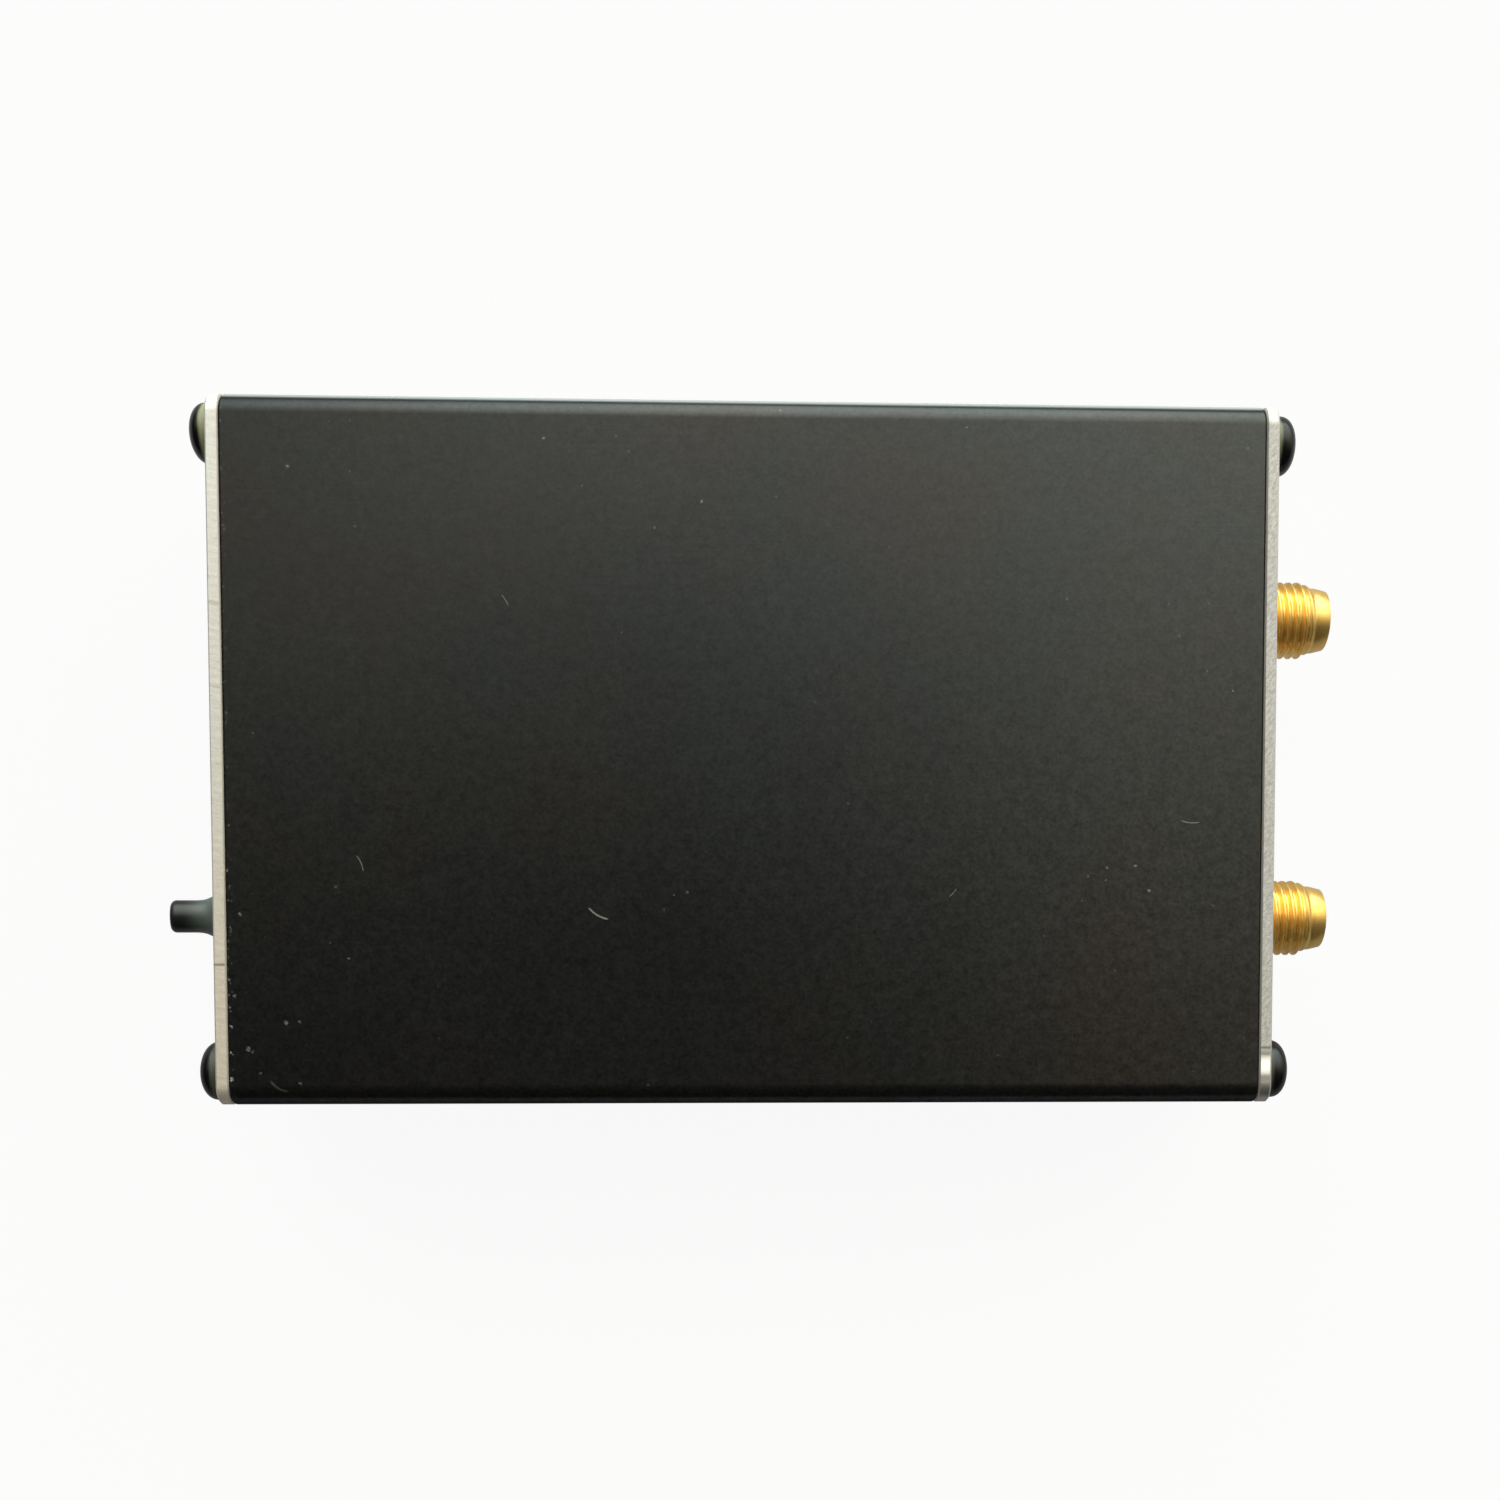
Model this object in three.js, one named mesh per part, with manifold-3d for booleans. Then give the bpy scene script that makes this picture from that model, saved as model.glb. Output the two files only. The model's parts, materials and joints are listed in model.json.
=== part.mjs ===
// A pocket USB spectrum analyzer in a two-part aluminium extrusion with screwed end panels.
// Units are millimetres. X runs along the case, with the two coaxial jacks at +X and the USB
// socket and power switch at -X. Y runs across it and Z up, from the middle of the underside.

import * as THREE from "three";
import { mergeVertices } from "three/addons/utils/BufferGeometryUtils.js";
import Module from "manifold-3d";

const wasm = await Module();
wasm.setup();

// Case extrusion
const caseLength = 80;
const caseWidth = 54.5;
const caseHeight = 23;
const wallThickness = 1.5;
const edgeRadius = 1.7;
const tongueHeight = 1;
const tongueThickness = 0.65;
const tongueClearance = 0.12;
const ribReach = 1.6;
const ribThickness = 1;
const screwBossRadius = 2.3;
const screwBoreRadius = 1.35;
const screwSlitWidth = 1.1;

// End panels
const panelThickness = 1;
const panelGap = 0.1;
const panelHoleRadius = 1.65;

// Panel screws
const screwInsetY = 2.5;
const screwInsetZ = 3.3;
const screwHeadRadius = 2.3;
const screwHeadHeight = 1.9;
const screwHeadRim = 0.7;
const screwShankRadius = 1.25;
const screwShankLength = 7;
const screwTipLength = 0.8;
const screwCrownShare = 0.75;
const recessSpan = 2.6;
const recessWidth = 0.62;
const recessDepth = 1.15;

// Circuit board
const boardThickness = 1.6;
const boardSideClearance = 0.2;
const boardSlotClearance = 0.1;
const boardRearSetback = 0.6;
const boardCornerRadius = 1;
const seatClearance = 0.05;

// Coaxial jacks
const jackPlaces = [12.6, -12.6];
const jackReach = 7.2;
const jackThreadRadius = 3.175;
const jackTipRadius = 2.7;
const jackTipLength = 1.2;
const jackShoulderLength = 0.9;
const jackChamfer = 0.3;
const jackReliefRadius = 2.75;
const jackReliefLength = 0.9;
const jackHoleClearance = 0.2;
const jackFlangeWidth = 6.35;
const jackFlangeThickness = 1.6;
const jackFlangeSetback = 0.2;
const jackLegLength = 4.1;
const jackLegWidth = 1;
const jackMouthRadius = 2.31;
const jackMouthDepth = 1.93;
const insulatorRadius = 2.05;
const contactRadius = 0.635;
const contactBoreRadius = 0.46;
const contactBoreDepth = 2.6;
const contactSlitWidth = 0.22;
const contactTailLength = 2.6;
const coaxialFit = 0.05;

// USB socket
const usbPlace = 9;
const usbWidth = 7.7;
const usbHeight = 3.9;
const usbLength = 9.2;
const usbFootWidth = 5.9;
const usbStepLow = 1.2;
const usbStepHigh = 1.8;
const usbWall = 0.3;
const usbCornerRadius = 0.5;
const usbWindowClearance = 0.35;
const usbTabLength = 1.5;
const usbTabReach = 0.9;
const usbTabInset = 1.2;
const usbBlockLength = 2.2;
const usbTongueLength = 4.9;
const usbTongueWidth = 4.6;
const usbTongueThickness = 0.9;
const usbTongueDrop = 0.75;
const usbContactPitch = 0.8;
const usbContactCount = 5;
const usbContactWidth = 0.35;
const usbContactThickness = 0.18;
const usbContactInset = 0.5;
const usbContactFoot = 0.9;
const usbFit = 0.06;

// Power switch
const switchPlace = -12.6;
const switchPivotDepth = 3.9;
const switchPivotHeight = 4.1;
const switchBodyLength = 8.2;
const switchBodyWidth = 5;
const switchBodyHeight = 8;
const switchBodyWall = 0.8;
const switchBodySetback = 1.1;
const switchFrameThickness = 0.45;
const switchFrameGap = 0.05;
const switchStrapLength = 5.4;
const switchStrapHeight = 4.2;
const switchFootLength = 1.4;
const switchThrow = THREE.MathUtils.degToRad(25);
const leverReach = 5.35;
const leverRadius = 1.3;
const leverTipRounding = 0.45;
const leverSkirtRadius = 2.8;
const leverSkirtRim = 0.35;
const leverSkirtGap = 1.05;
const leverFlareLength = 2.4;
const leverFlarePower = 2.2;
const leverNeckRadius = 1.1;
const leverBallRadius = 1.6;
const leverTailRadius = 0.85;
const leverTailLength = 2.1;
const leverClearance = 0.35;
const plungerRadius = 0.42;
const plungerReach = 0.55;
const plungerBoreDepth = 1.1;
const plungerFit = 0.06;
const pivotPinRadius = 0.45;
const pivotPinFit = 0.08;
const rockerLength = 4.6;
const rockerWidth = 2.4;
const rockerThickness = 0.35;
const rockerTilt = THREE.MathUtils.degToRad(8);
const rockerGap = 0.3;
const terminalWidth = 1.1;
const terminalThickness = 0.4;
const terminalPitch = 2.3;
const terminalReach = 1.1;
const terminalInner = 0.35;
const terminalFit = 0.08;

// Board components: packages with leads, then plain blocks with bevelled edges
const controllerChip = {
  length: 7, width: 7, height: 1.4, pitch: 0.8, leads: 8, leadWidth: 0.37, reach: 1,
};
const serialChip = {
  length: 7.2, width: 5.3, height: 1.75, pitch: 0.65, leads: 10, leadWidth: 0.3, reach: 1.2,
};
const smallChip = {
  length: 4.9, width: 3.9, height: 1.5, pitch: 1.27, leads: 4, leadWidth: 0.42, reach: 1.05,
};
const regulatorChip = {
  length: 6.5, width: 3.5, height: 1.6, pitch: 2.3, leads: 3, leadWidth: 0.75, reach: 1.75,
};
const leadThickness = 0.15;
const leadKneeShare = 0.45;
const draftShare = 0.12;
const synthesizerBlock = { length: 5, width: 5, height: 0.9, radius: 0.2 };
const filterBlock = { length: 7, width: 5, height: 1.6, radius: 0.5 };
const oscillatorBlock = { length: 7, width: 5, height: 1.9, radius: 0.6 };
const crystalBlock = { length: 11.4, width: 4.7, height: 3.6, radius: 2 };
const tantalumBlock = { length: 6, width: 3.2, height: 2.5, radius: 0.3 };
const inductorBlock = { length: 4, width: 4, height: 1.8, radius: 0.8 };
const ledBlock = { length: 2, width: 1.25, height: 0.8, radius: 0.25 };
const blockBevel = 0.12;

// Facets
const roundSteps = 24;
const screwSteps = 20;
const leverSteps = 18;
const smallSteps = 12;
const holeSteps = 12;
const bossSteps = 9;
const cornerSteps = 3;
const crownSteps = 4;

// Finishes
const blackAnodised = { color: 0x35373a, roughness: 0.42, metalness: 0.85 };
const brightAluminium = { color: 0xc9c6bd, roughness: 0.38, metalness: 0.95 };
const blackScrew = { color: 0x17181b, roughness: 0.35, metalness: 0.7 };
const goldPlate = { color: 0xd9a441, roughness: 0.24, metalness: 1 };
const ptfe = { color: 0xf1efe8, roughness: 0.55, metalness: 0 };
const boardLaminate = { color: 0x1d4a34, roughness: 0.45, metalness: 0 };
const nickelPlate = { color: 0xbfbfba, roughness: 0.3, metalness: 1 };
const blackMoulding = { color: 0x141517, roughness: 0.5, metalness: 0 };
const chipResin = { color: 0x1a1b1c, roughness: 0.6, metalness: 0 };
const tantalumResin = { color: 0xc98a2b, roughness: 0.5, metalness: 0 };
const ledResin = { color: 0xd8e4c4, roughness: 0.3, metalness: 0 };

// Places worked out from the sizes above
const halfLength = caseLength / 2;
const halfWidth = caseWidth / 2;
const splitHeight = caseHeight / 2;
const panelInner = halfLength + panelGap;
const panelOuter = panelInner + panelThickness;
const boardTop = splitHeight - tongueHeight - boardSlotClearance;
const boardBottom = boardTop - boardThickness;
const partSeat = boardTop + seatClearance;
const cutOverrun = wallThickness;
const screwY = halfWidth - screwInsetY;
const screwPlaces = [
  [-screwY, screwInsetZ],
  [screwY, screwInsetZ],
  [-screwY, caseHeight - screwInsetZ],
  [screwY, caseHeight - screwInsetZ],
];
const jackAxisHeight = boardTop + seatClearance + contactRadius;
const jackFlangeFront = halfLength - jackFlangeSetback;
const jackFlangeBack = jackFlangeFront - jackFlangeThickness;
const jackTip = panelOuter + jackReach;
const boardFront = jackFlangeBack - seatClearance;
const boardRear = -halfLength + boardRearSetback;
const boardHalfWidth = halfWidth - wallThickness - boardSideClearance;
const leverRest = switchThrow / 2;
const pivotX = -halfLength + switchPivotDepth;
const pivotHeight = partSeat + switchPivotHeight;

const X = new THREE.Vector3(1, 0, 0);
const Y = new THREE.Vector3(0, 1, 0);
const Z = new THREE.Vector3(0, 0, 1);

const object = new THREE.Group();

/** Keeps only the welded positions of a geometry and turns its faces outward. */
function weld(geometry) {
  const bare = geometry.index ? geometry.toNonIndexed() : geometry.clone();
  for (const name of Object.keys(bare.attributes)) {
    if (name !== "position") bare.deleteAttribute(name);
  }
  const welded = mergeVertices(bare);
  const place = welded.attributes.position;
  const corners = [0, 1, 2].map(() => new THREE.Vector3());
  const kept = [];
  let volume = 0;
  for (let i = 0; i < welded.index.count; i += 3) {
    const ids = [0, 1, 2].map((k) => welded.index.getX(i + k));
    if (new Set(ids).size < ids.length) continue;
    ids.forEach((id, k) => corners[k].fromBufferAttribute(place, id));
    volume += corners[0].dot(corners[1].clone().cross(corners[2]));
    kept.push(ids);
  }
  welded.setIndex((volume < 0 ? kept.map((ids) => [...ids].reverse()) : kept).flat());
  return welded;
}

/** Makes a solid that can be joined and cut from a closed geometry. */
function solid(geometry) {
  const welded = weld(geometry);
  return new wasm.Manifold(new wasm.Mesh({
    numProp: 3,
    vertProperties: new Float32Array(welded.attributes.position.array),
    triVerts: new Uint32Array(welded.index.array),
  }));
}

/** Gives a solid's surface back as a geometry. */
function surface(body) {
  const mesh = body.getMesh();
  const geometry = new THREE.BufferGeometry();
  geometry.setAttribute("position", new THREE.BufferAttribute(new Float32Array(mesh.vertProperties), 3));
  geometry.setIndex(new THREE.BufferAttribute(new Uint32Array(mesh.triVerts), 1));
  geometry.computeVertexNormals();
  return geometry;
}

/** Joins several solids into one. */
function join(parts) {
  return parts.reduce((whole, part) => whole.add(part));
}

/** Cuts several solids out of one. */
function cut(whole, parts) {
  return parts.reduce((rest, part) => rest.subtract(part), whole);
}

/** Adds one named piece to the object, from a geometry or a solid. */
function piece(name, shape, finish, parent = object) {
  const geometry = shape.isBufferGeometry ? weld(shape) : surface(shape);
  geometry.computeVertexNormals();
  const mesh = new THREE.Mesh(geometry, new THREE.MeshStandardMaterial(finish));
  mesh.name = name;
  parent.add(mesh);
  return mesh;
}

/** A box between two corners. */
function block(x0, x1, y0, y1, z0, z1) {
  const box = new THREE.BoxGeometry(x1 - x0, y1 - y0, z1 - z0);
  return box.translate((x0 + x1) / 2, (y0 + y1) / 2, (z0 + z1) / 2);
}

/** An outline of (Y, Z) points run along X from x0 to x1. */
function alongX(shape, x0, x1, steps = cornerSteps) {
  const settings = { depth: x1 - x0, bevelEnabled: false, curveSegments: steps };
  const run = new THREE.ExtrudeGeometry(shape, settings);
  return run.applyMatrix4(new THREE.Matrix4().makeBasis(Y, Z, X)).translate(x0, 0, 0);
}

/** An outline of (X, Z) points run along Y from y0 to y1. */
function alongY(shape, y0, y1, steps = cornerSteps) {
  const settings = { depth: y1 - y0, bevelEnabled: false, curveSegments: steps };
  const run = new THREE.ExtrudeGeometry(shape, settings);
  return run.applyMatrix4(new THREE.Matrix4().makeBasis(X, Z, Y.clone().negate())).translate(0, y1, 0);
}

/** An outline of (X, Y) points run along Z from z0 to z1. */
function alongZ(shape, z0, z1, steps = cornerSteps) {
  const settings = { depth: z1 - z0, bevelEnabled: false, curveSegments: steps };
  const run = new THREE.ExtrudeGeometry(shape, settings);
  return run.translate(0, 0, z0);
}

/** A profile of (distance along X, radius) points turned round the X axis. */
function turned(points, steps = roundSteps) {
  const profile = points.map(([along, radius]) => new THREE.Vector2(radius, along));
  return new THREE.LatheGeometry(profile, steps).rotateZ(-Math.PI / 2);
}

/** A round rod along X. */
function rod(x0, x1, radius, steps = roundSteps) {
  return turned([[x0, 0], [x0, radius], [x1, radius], [x1, 0]], steps);
}

/** A closed outline from a list of points. */
function outline(points) {
  return new THREE.Shape(points.map(([u, v]) => new THREE.Vector2(u, v)));
}

/** A rectangle with round corners, centred on (u, v). */
function roundedRectangle(u, v, width, height, radius) {
  const [a, b] = [width / 2 - radius, height / 2 - radius];
  const shape = new THREE.Shape();
  shape.absarc(u + a, v + b, radius, 0, Math.PI / 2);
  shape.absarc(u - a, v + b, radius, Math.PI / 2, Math.PI);
  shape.absarc(u - a, v - b, radius, Math.PI, 1.5 * Math.PI);
  shape.absarc(u + a, v - b, radius, 1.5 * Math.PI, 2 * Math.PI);
  return shape;
}

/** A round disc outline. */
function disc(u, v, radius) {
  return new THREE.Shape().absarc(u, v, radius, 0, 2 * Math.PI);
}

/** One half of the case: a channel with two board ribs, two open screw channels and one tongue. */
function caseHalf() {
  const inner = halfWidth - wallThickness;
  const ends = [-halfLength, halfLength];
  const cutEnds = [-halfLength - cutOverrun, halfLength + cutOverrun];
  const bar = ([x0, x1], y0, y1, z0, z1) => solid(block(x0, x1, y0, y1, z0, z1));

  const whole = roundedRectangle(0, splitHeight, caseWidth, caseHeight, edgeRadius);
  const channel = cut(solid(alongX(whole, ...ends)), [
    bar(cutEnds, -inner, inner, wallThickness, caseHeight + cutOverrun),
    bar(cutEnds, -caseWidth, caseWidth, splitHeight, caseHeight + cutOverrun),
  ]);
  const ribTop = boardBottom - boardSlotClearance;
  const ribs = [-1, 1].map((side) =>
    bar(ends, side * (inner - ribReach), side * (inner + wallThickness / 2), ribTop - ribThickness, ribTop));
  const bosses = [-1, 1].map((side) =>
    solid(alongX(disc(side * screwY, screwInsetZ, screwBossRadius), ...ends, bossSteps)));
  // The tongue hooks over the board's edge below the split and stands up into the other half
  const hook = [splitHeight - tongueHeight, splitHeight + tongueHeight];
  const lip = bar(ends, -inner, ribReach - inner, ...hook);
  const tongue = bar(ends, -inner - tongueThickness, -inner, ...hook);
  const rebate = bar(
    cutEnds,
    inner - cutOverrun,
    inner + tongueThickness + tongueClearance,
    splitHeight - tongueHeight - tongueClearance,
    splitHeight + cutOverrun,
  );
  const bores = [-1, 1].map((side) =>
    solid(alongX(disc(side * screwY, screwInsetZ, screwBoreRadius), ...cutEnds, bossSteps)));
  const slits = [-1, 1].map((side) => {
    const slitEnd = screwBossRadius + screwBoreRadius;
    const slit = block(...cutEnds, -screwSlitWidth / 2, screwSlitWidth / 2, 0, slitEnd);
    return solid(slit.rotateX(side * Math.PI / 4).translate(0, side * screwY, screwInsetZ));
  });
  return cut(join([channel, ...ribs, ...bosses, lip, tongue]), [rebate, ...bores, ...slits]);
}

/** Both halves come from the same extrusion: the upper is the lower turned over about X. */
function buildCase() {
  const half = caseHalf();
  piece("lower_shell", half, blackAnodised);
  piece("upper_shell", surface(half).rotateX(Math.PI).translate(0, 0, caseHeight), blackAnodised);
}

/** An end panel with its four screw holes, at +X or -X. */
function endPanel(side) {
  const face = roundedRectangle(0, splitHeight, caseWidth, caseHeight, edgeRadius);
  const [x0, x1] = side < 0 ? [-panelOuter, -panelInner] : [panelInner, panelOuter];
  const holes = screwPlaces.map(([y, z]) => acrossPanel(side, disc(y, z, panelHoleRadius)));
  return cut(solid(alongX(face, x0, x1)), holes.map(solid));
}

/** A cutter of the given outline that passes through the panel at +X or -X. */
function acrossPanel(side, shape, steps = holeSteps) {
  const [x0, x1] = [panelInner - cutOverrun, panelOuter + cutOverrun];
  return alongX(shape, side < 0 ? -x1 : x0, side < 0 ? -x0 : x1, steps);
}

/** A pan-head screw with a cross recess, its head standing on the panel and its shank in the case. */
function panelScrew(side, y, z) {
  const crown = screwHeadHeight - screwHeadRim;
  const seat = panelOuter + seatClearance;
  const profile = [
    [seat - screwShankLength, 0],
    [seat - screwShankLength, screwShankRadius / 2],
    [seat - screwShankLength + screwTipLength, screwShankRadius],
    [seat, screwShankRadius],
    [seat, screwHeadRadius],
    [seat + screwHeadRim, screwHeadRadius],
  ];
  for (let step = 1; step < crownSteps; step++) {
    const angle = (step / crownSteps) * (Math.PI / 2);
    const radius = screwHeadRadius * Math.cos(angle) ** screwCrownShare;
    profile.push([seat + screwHeadRim + crown * Math.sin(angle), radius]);
  }
  profile.push([seat + screwHeadHeight, 0]);
  const floor = seat + screwHeadHeight - recessDepth;
  const top = seat + screwHeadHeight + cutOverrun;
  const cross = [
    [recessSpan / 2, recessWidth / 2],
    [recessWidth / 2, recessSpan / 2],
  ].map(([dy, dz]) => solid(block(floor, top, -dy, dy, -dz, dz)));
  const screw = surface(cut(solid(turned(profile, screwSteps)), cross));
  if (side < 0) screw.rotateZ(Math.PI);
  return screw.translate(0, y, z);
}

/** Both end panels and their eight screws. */
function buildPanels() {
  const jackHoles = jackPlaces.map((y) =>
    solid(acrossPanel(1, disc(y, jackAxisHeight, jackThreadRadius + jackHoleClearance))));
  piece("front_panel", cut(endPanel(1), jackHoles), brightAluminium);

  const usbMiddle = partSeat + usbHeight / 2;
  const window = roundedRectangle(
    usbPlace,
    usbMiddle,
    usbWidth + 2 * usbWindowClearance,
    usbHeight + 2 * usbWindowClearance,
    usbCornerRadius,
  );
  const slotHalf = leverSweep(panelOuter, leverNeckRadius);
  const slotWidth = 2 * (leverNeckRadius + leverClearance);
  const slot = roundedRectangle(switchPlace, pivotHeight, slotWidth, 2 * slotHalf, slotWidth / 2);
  const openings = [window, slot].map((shape) => solid(acrossPanel(-1, shape, cornerSteps)));
  piece("rear_panel", cut(endPanel(-1), openings), brightAluminium);

  for (const [side, end] of [[1, "front"], [-1, "rear"]]) {
    screwPlaces.forEach(([y, z], index) => {
      piece(`${end}_screw_${index + 1}`, panelScrew(side, y, z), blackScrew);
    });
  }
}

/** The circuit board, its -Y edge in the lower slot and its +Y edge under the upper tongue. */
function buildBoard() {
  const length = boardFront - boardRear;
  const plan = roundedRectangle(
    (boardFront + boardRear) / 2,
    0,
    length,
    2 * boardHalfWidth,
    boardCornerRadius,
  );
  piece("circuit_board", alongZ(plan, boardBottom, boardTop), boardLaminate);
}

/** A board-edge coaxial jack: flanged threaded body, insulator and slotted centre contact. */
function coaxialJack(y, number) {
  const at = (geometry) => solid(geometry.translate(0, y, jackAxisHeight));
  const half = jackFlangeWidth / 2;
  const middle = (jackFlangeFront + jackFlangeBack) / 2;
  const mouthFloor = jackTip - jackMouthDepth;
  const threadEnd = jackTip - jackTipLength;

  const barrel = at(turned([
    [middle, 0],
    [middle, jackReliefRadius],
    [jackFlangeFront + jackReliefLength, jackReliefRadius],
    [jackFlangeFront + jackReliefLength, jackThreadRadius],
    [threadEnd - jackShoulderLength, jackThreadRadius],
    [threadEnd, jackTipRadius],
    [jackTip - jackChamfer, jackTipRadius],
    [jackTip, jackTipRadius - jackChamfer],
    [jackTip, 0],
  ]));
  const flange = at(block(jackFlangeBack, jackFlangeFront, -half, half, -half, half));
  // Two legs lie on the board and two under it, level with the flange's edges
  const upperLegFloor = boardTop + seatClearance - jackAxisHeight;
  const lowerLegRoof = boardBottom - seatClearance - jackAxisHeight;
  const legThickness = lowerLegRoof + half;
  const legs = [-1, 1].flatMap((side) => [
    [upperLegFloor, upperLegFloor + legThickness],
    [lowerLegRoof - legThickness, lowerLegRoof],
  ].map(([z0, z1]) =>
    at(block(jackFlangeBack - jackLegLength, middle, side * (half - jackLegWidth), side * half, z0, z1))));
  const bore = at(rod(jackFlangeBack - cutOverrun, jackTip, insulatorRadius + coaxialFit));
  const mouth = at(rod(mouthFloor, jackTip + cutOverrun, jackMouthRadius));
  piece(`rf_jack_${number}_body`, cut(join([barrel, flange, ...legs]), [bore, mouth]), goldPlate);

  const insulator = at(rod(jackFlangeBack, mouthFloor, insulatorRadius));
  const pinBore = rod(jackFlangeBack - cutOverrun, mouthFloor + cutOverrun, contactRadius + coaxialFit);
  piece(`rf_jack_${number}_insulator`, insulator.subtract(at(pinBore)), ptfe);

  const tail = jackFlangeBack - contactTailLength;
  const pin = at(rod(tail, mouthFloor - coaxialFit, contactRadius, smallSteps));
  const socketFloor = mouthFloor - contactBoreDepth;
  const socket = at(rod(socketFloor, mouthFloor + cutOverrun, contactBoreRadius, smallSteps));
  const slit = at(block(
    socketFloor,
    mouthFloor + cutOverrun,
    -contactRadius - cutOverrun,
    contactRadius + cutOverrun,
    -contactSlitWidth / 2,
    contactSlitWidth / 2,
  ));
  piece(`rf_jack_${number}_contact`, cut(pin, [socket, slit]), goldPlate);
}

/** The stepped outline of the USB socket, drawn in by an inset all round. */
function usbSection(inset) {
  const foot = usbFootWidth / 2 - inset;
  const side = usbWidth / 2 - inset;
  const corner = usbCornerRadius - inset / 2;
  const right = [
    [foot, inset],
    [foot, usbStepLow + inset / 2],
    [side, usbStepHigh + inset / 2],
    [side, usbHeight - inset - corner],
    [side - corner, usbHeight - inset],
  ];
  const left = [...right].reverse().map(([y, z]) => [-y, z]);
  return outline([...right, ...left].map(([y, z]) => [usbPlace + y, partSeat + z]));
}

/** The USB socket: a folded shell, a moulded insert with its tongue, and five contacts. */
function buildUsbSocket() {
  const mouth = -panelOuter;
  const rear = mouth + usbLength;
  const blockFront = rear - usbBlockLength;
  const tongueFront = blockFront - usbTongueLength;
  const tongueTop = partSeat + usbHeight - usbWall - usbTongueDrop;
  const tongueBottom = tongueTop - usbTongueThickness;

  const tabXs = [boardRear + usbTabInset, rear - usbTabInset - usbTabLength];
  const tabs = [-1, 1].flatMap((side) => tabXs.map((x) =>
    solid(block(
      x,
      x + usbTabLength,
      usbPlace + side * (usbFootWidth / 2 - usbWall / 2),
      usbPlace + side * (usbFootWidth / 2 + usbTabReach),
      partSeat,
      partSeat + usbWall,
    ))));
  const shell = solid(alongX(usbSection(0), mouth, rear));
  const hollow = solid(alongX(usbSection(usbWall), mouth - cutOverrun, rear + cutOverrun));
  piece("usb_shell", join([shell, ...tabs]).subtract(hollow), nickelPlate);

  const tongueHalf = usbTongueWidth / 2;
  const tongue = solid(block(
    tongueFront,
    blockFront + usbBlockLength / 2,
    usbPlace - tongueHalf,
    usbPlace + tongueHalf,
    tongueBottom,
    tongueTop,
  ));
  const contactTop = tongueBottom - usbFit;
  const contactBottom = contactTop - usbContactThickness;
  const contactHalf = usbContactWidth / 2;
  const contactYs = Array.from({ length: usbContactCount }, (_, index) =>
    usbPlace + (index - (usbContactCount - 1) / 2) * usbContactPitch);
  const channels = contactYs.map((y) => solid(block(
    blockFront - cutOverrun,
    rear + cutOverrun,
    y - contactHalf - usbFit,
    y + contactHalf + usbFit,
    contactBottom - usbFit,
    tongueBottom,
  )));
  const moulding = solid(alongX(usbSection(usbWall + usbFit), blockFront, rear));
  piece("usb_insert", cut(moulding.add(tongue), channels), blackMoulding);

  const bend = rear + usbContactThickness;
  const profile = outline([
    [tongueFront + usbContactInset, contactBottom],
    [bend, contactBottom],
    [bend, partSeat],
    [bend + usbContactFoot, partSeat],
    [bend + usbContactFoot, partSeat + usbContactThickness],
    [bend + usbContactThickness, partSeat + usbContactThickness],
    [bend + usbContactThickness, contactTop],
    [tongueFront + usbContactInset, contactTop],
  ]);
  contactYs.forEach((y, index) => {
    piece(`usb_contact_${index + 1}`, alongY(profile, y - contactHalf, y + contactHalf), goldPlate);
  });
}

/** Half the height that the lever sweeps, with clearance, where it crosses x = -distance. */
function leverSweep(distance, radius) {
  const swing = switchThrow / 2;
  return radius / Math.cos(swing) + (distance + pivotX) * Math.tan(swing) + leverClearance;
}

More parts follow.
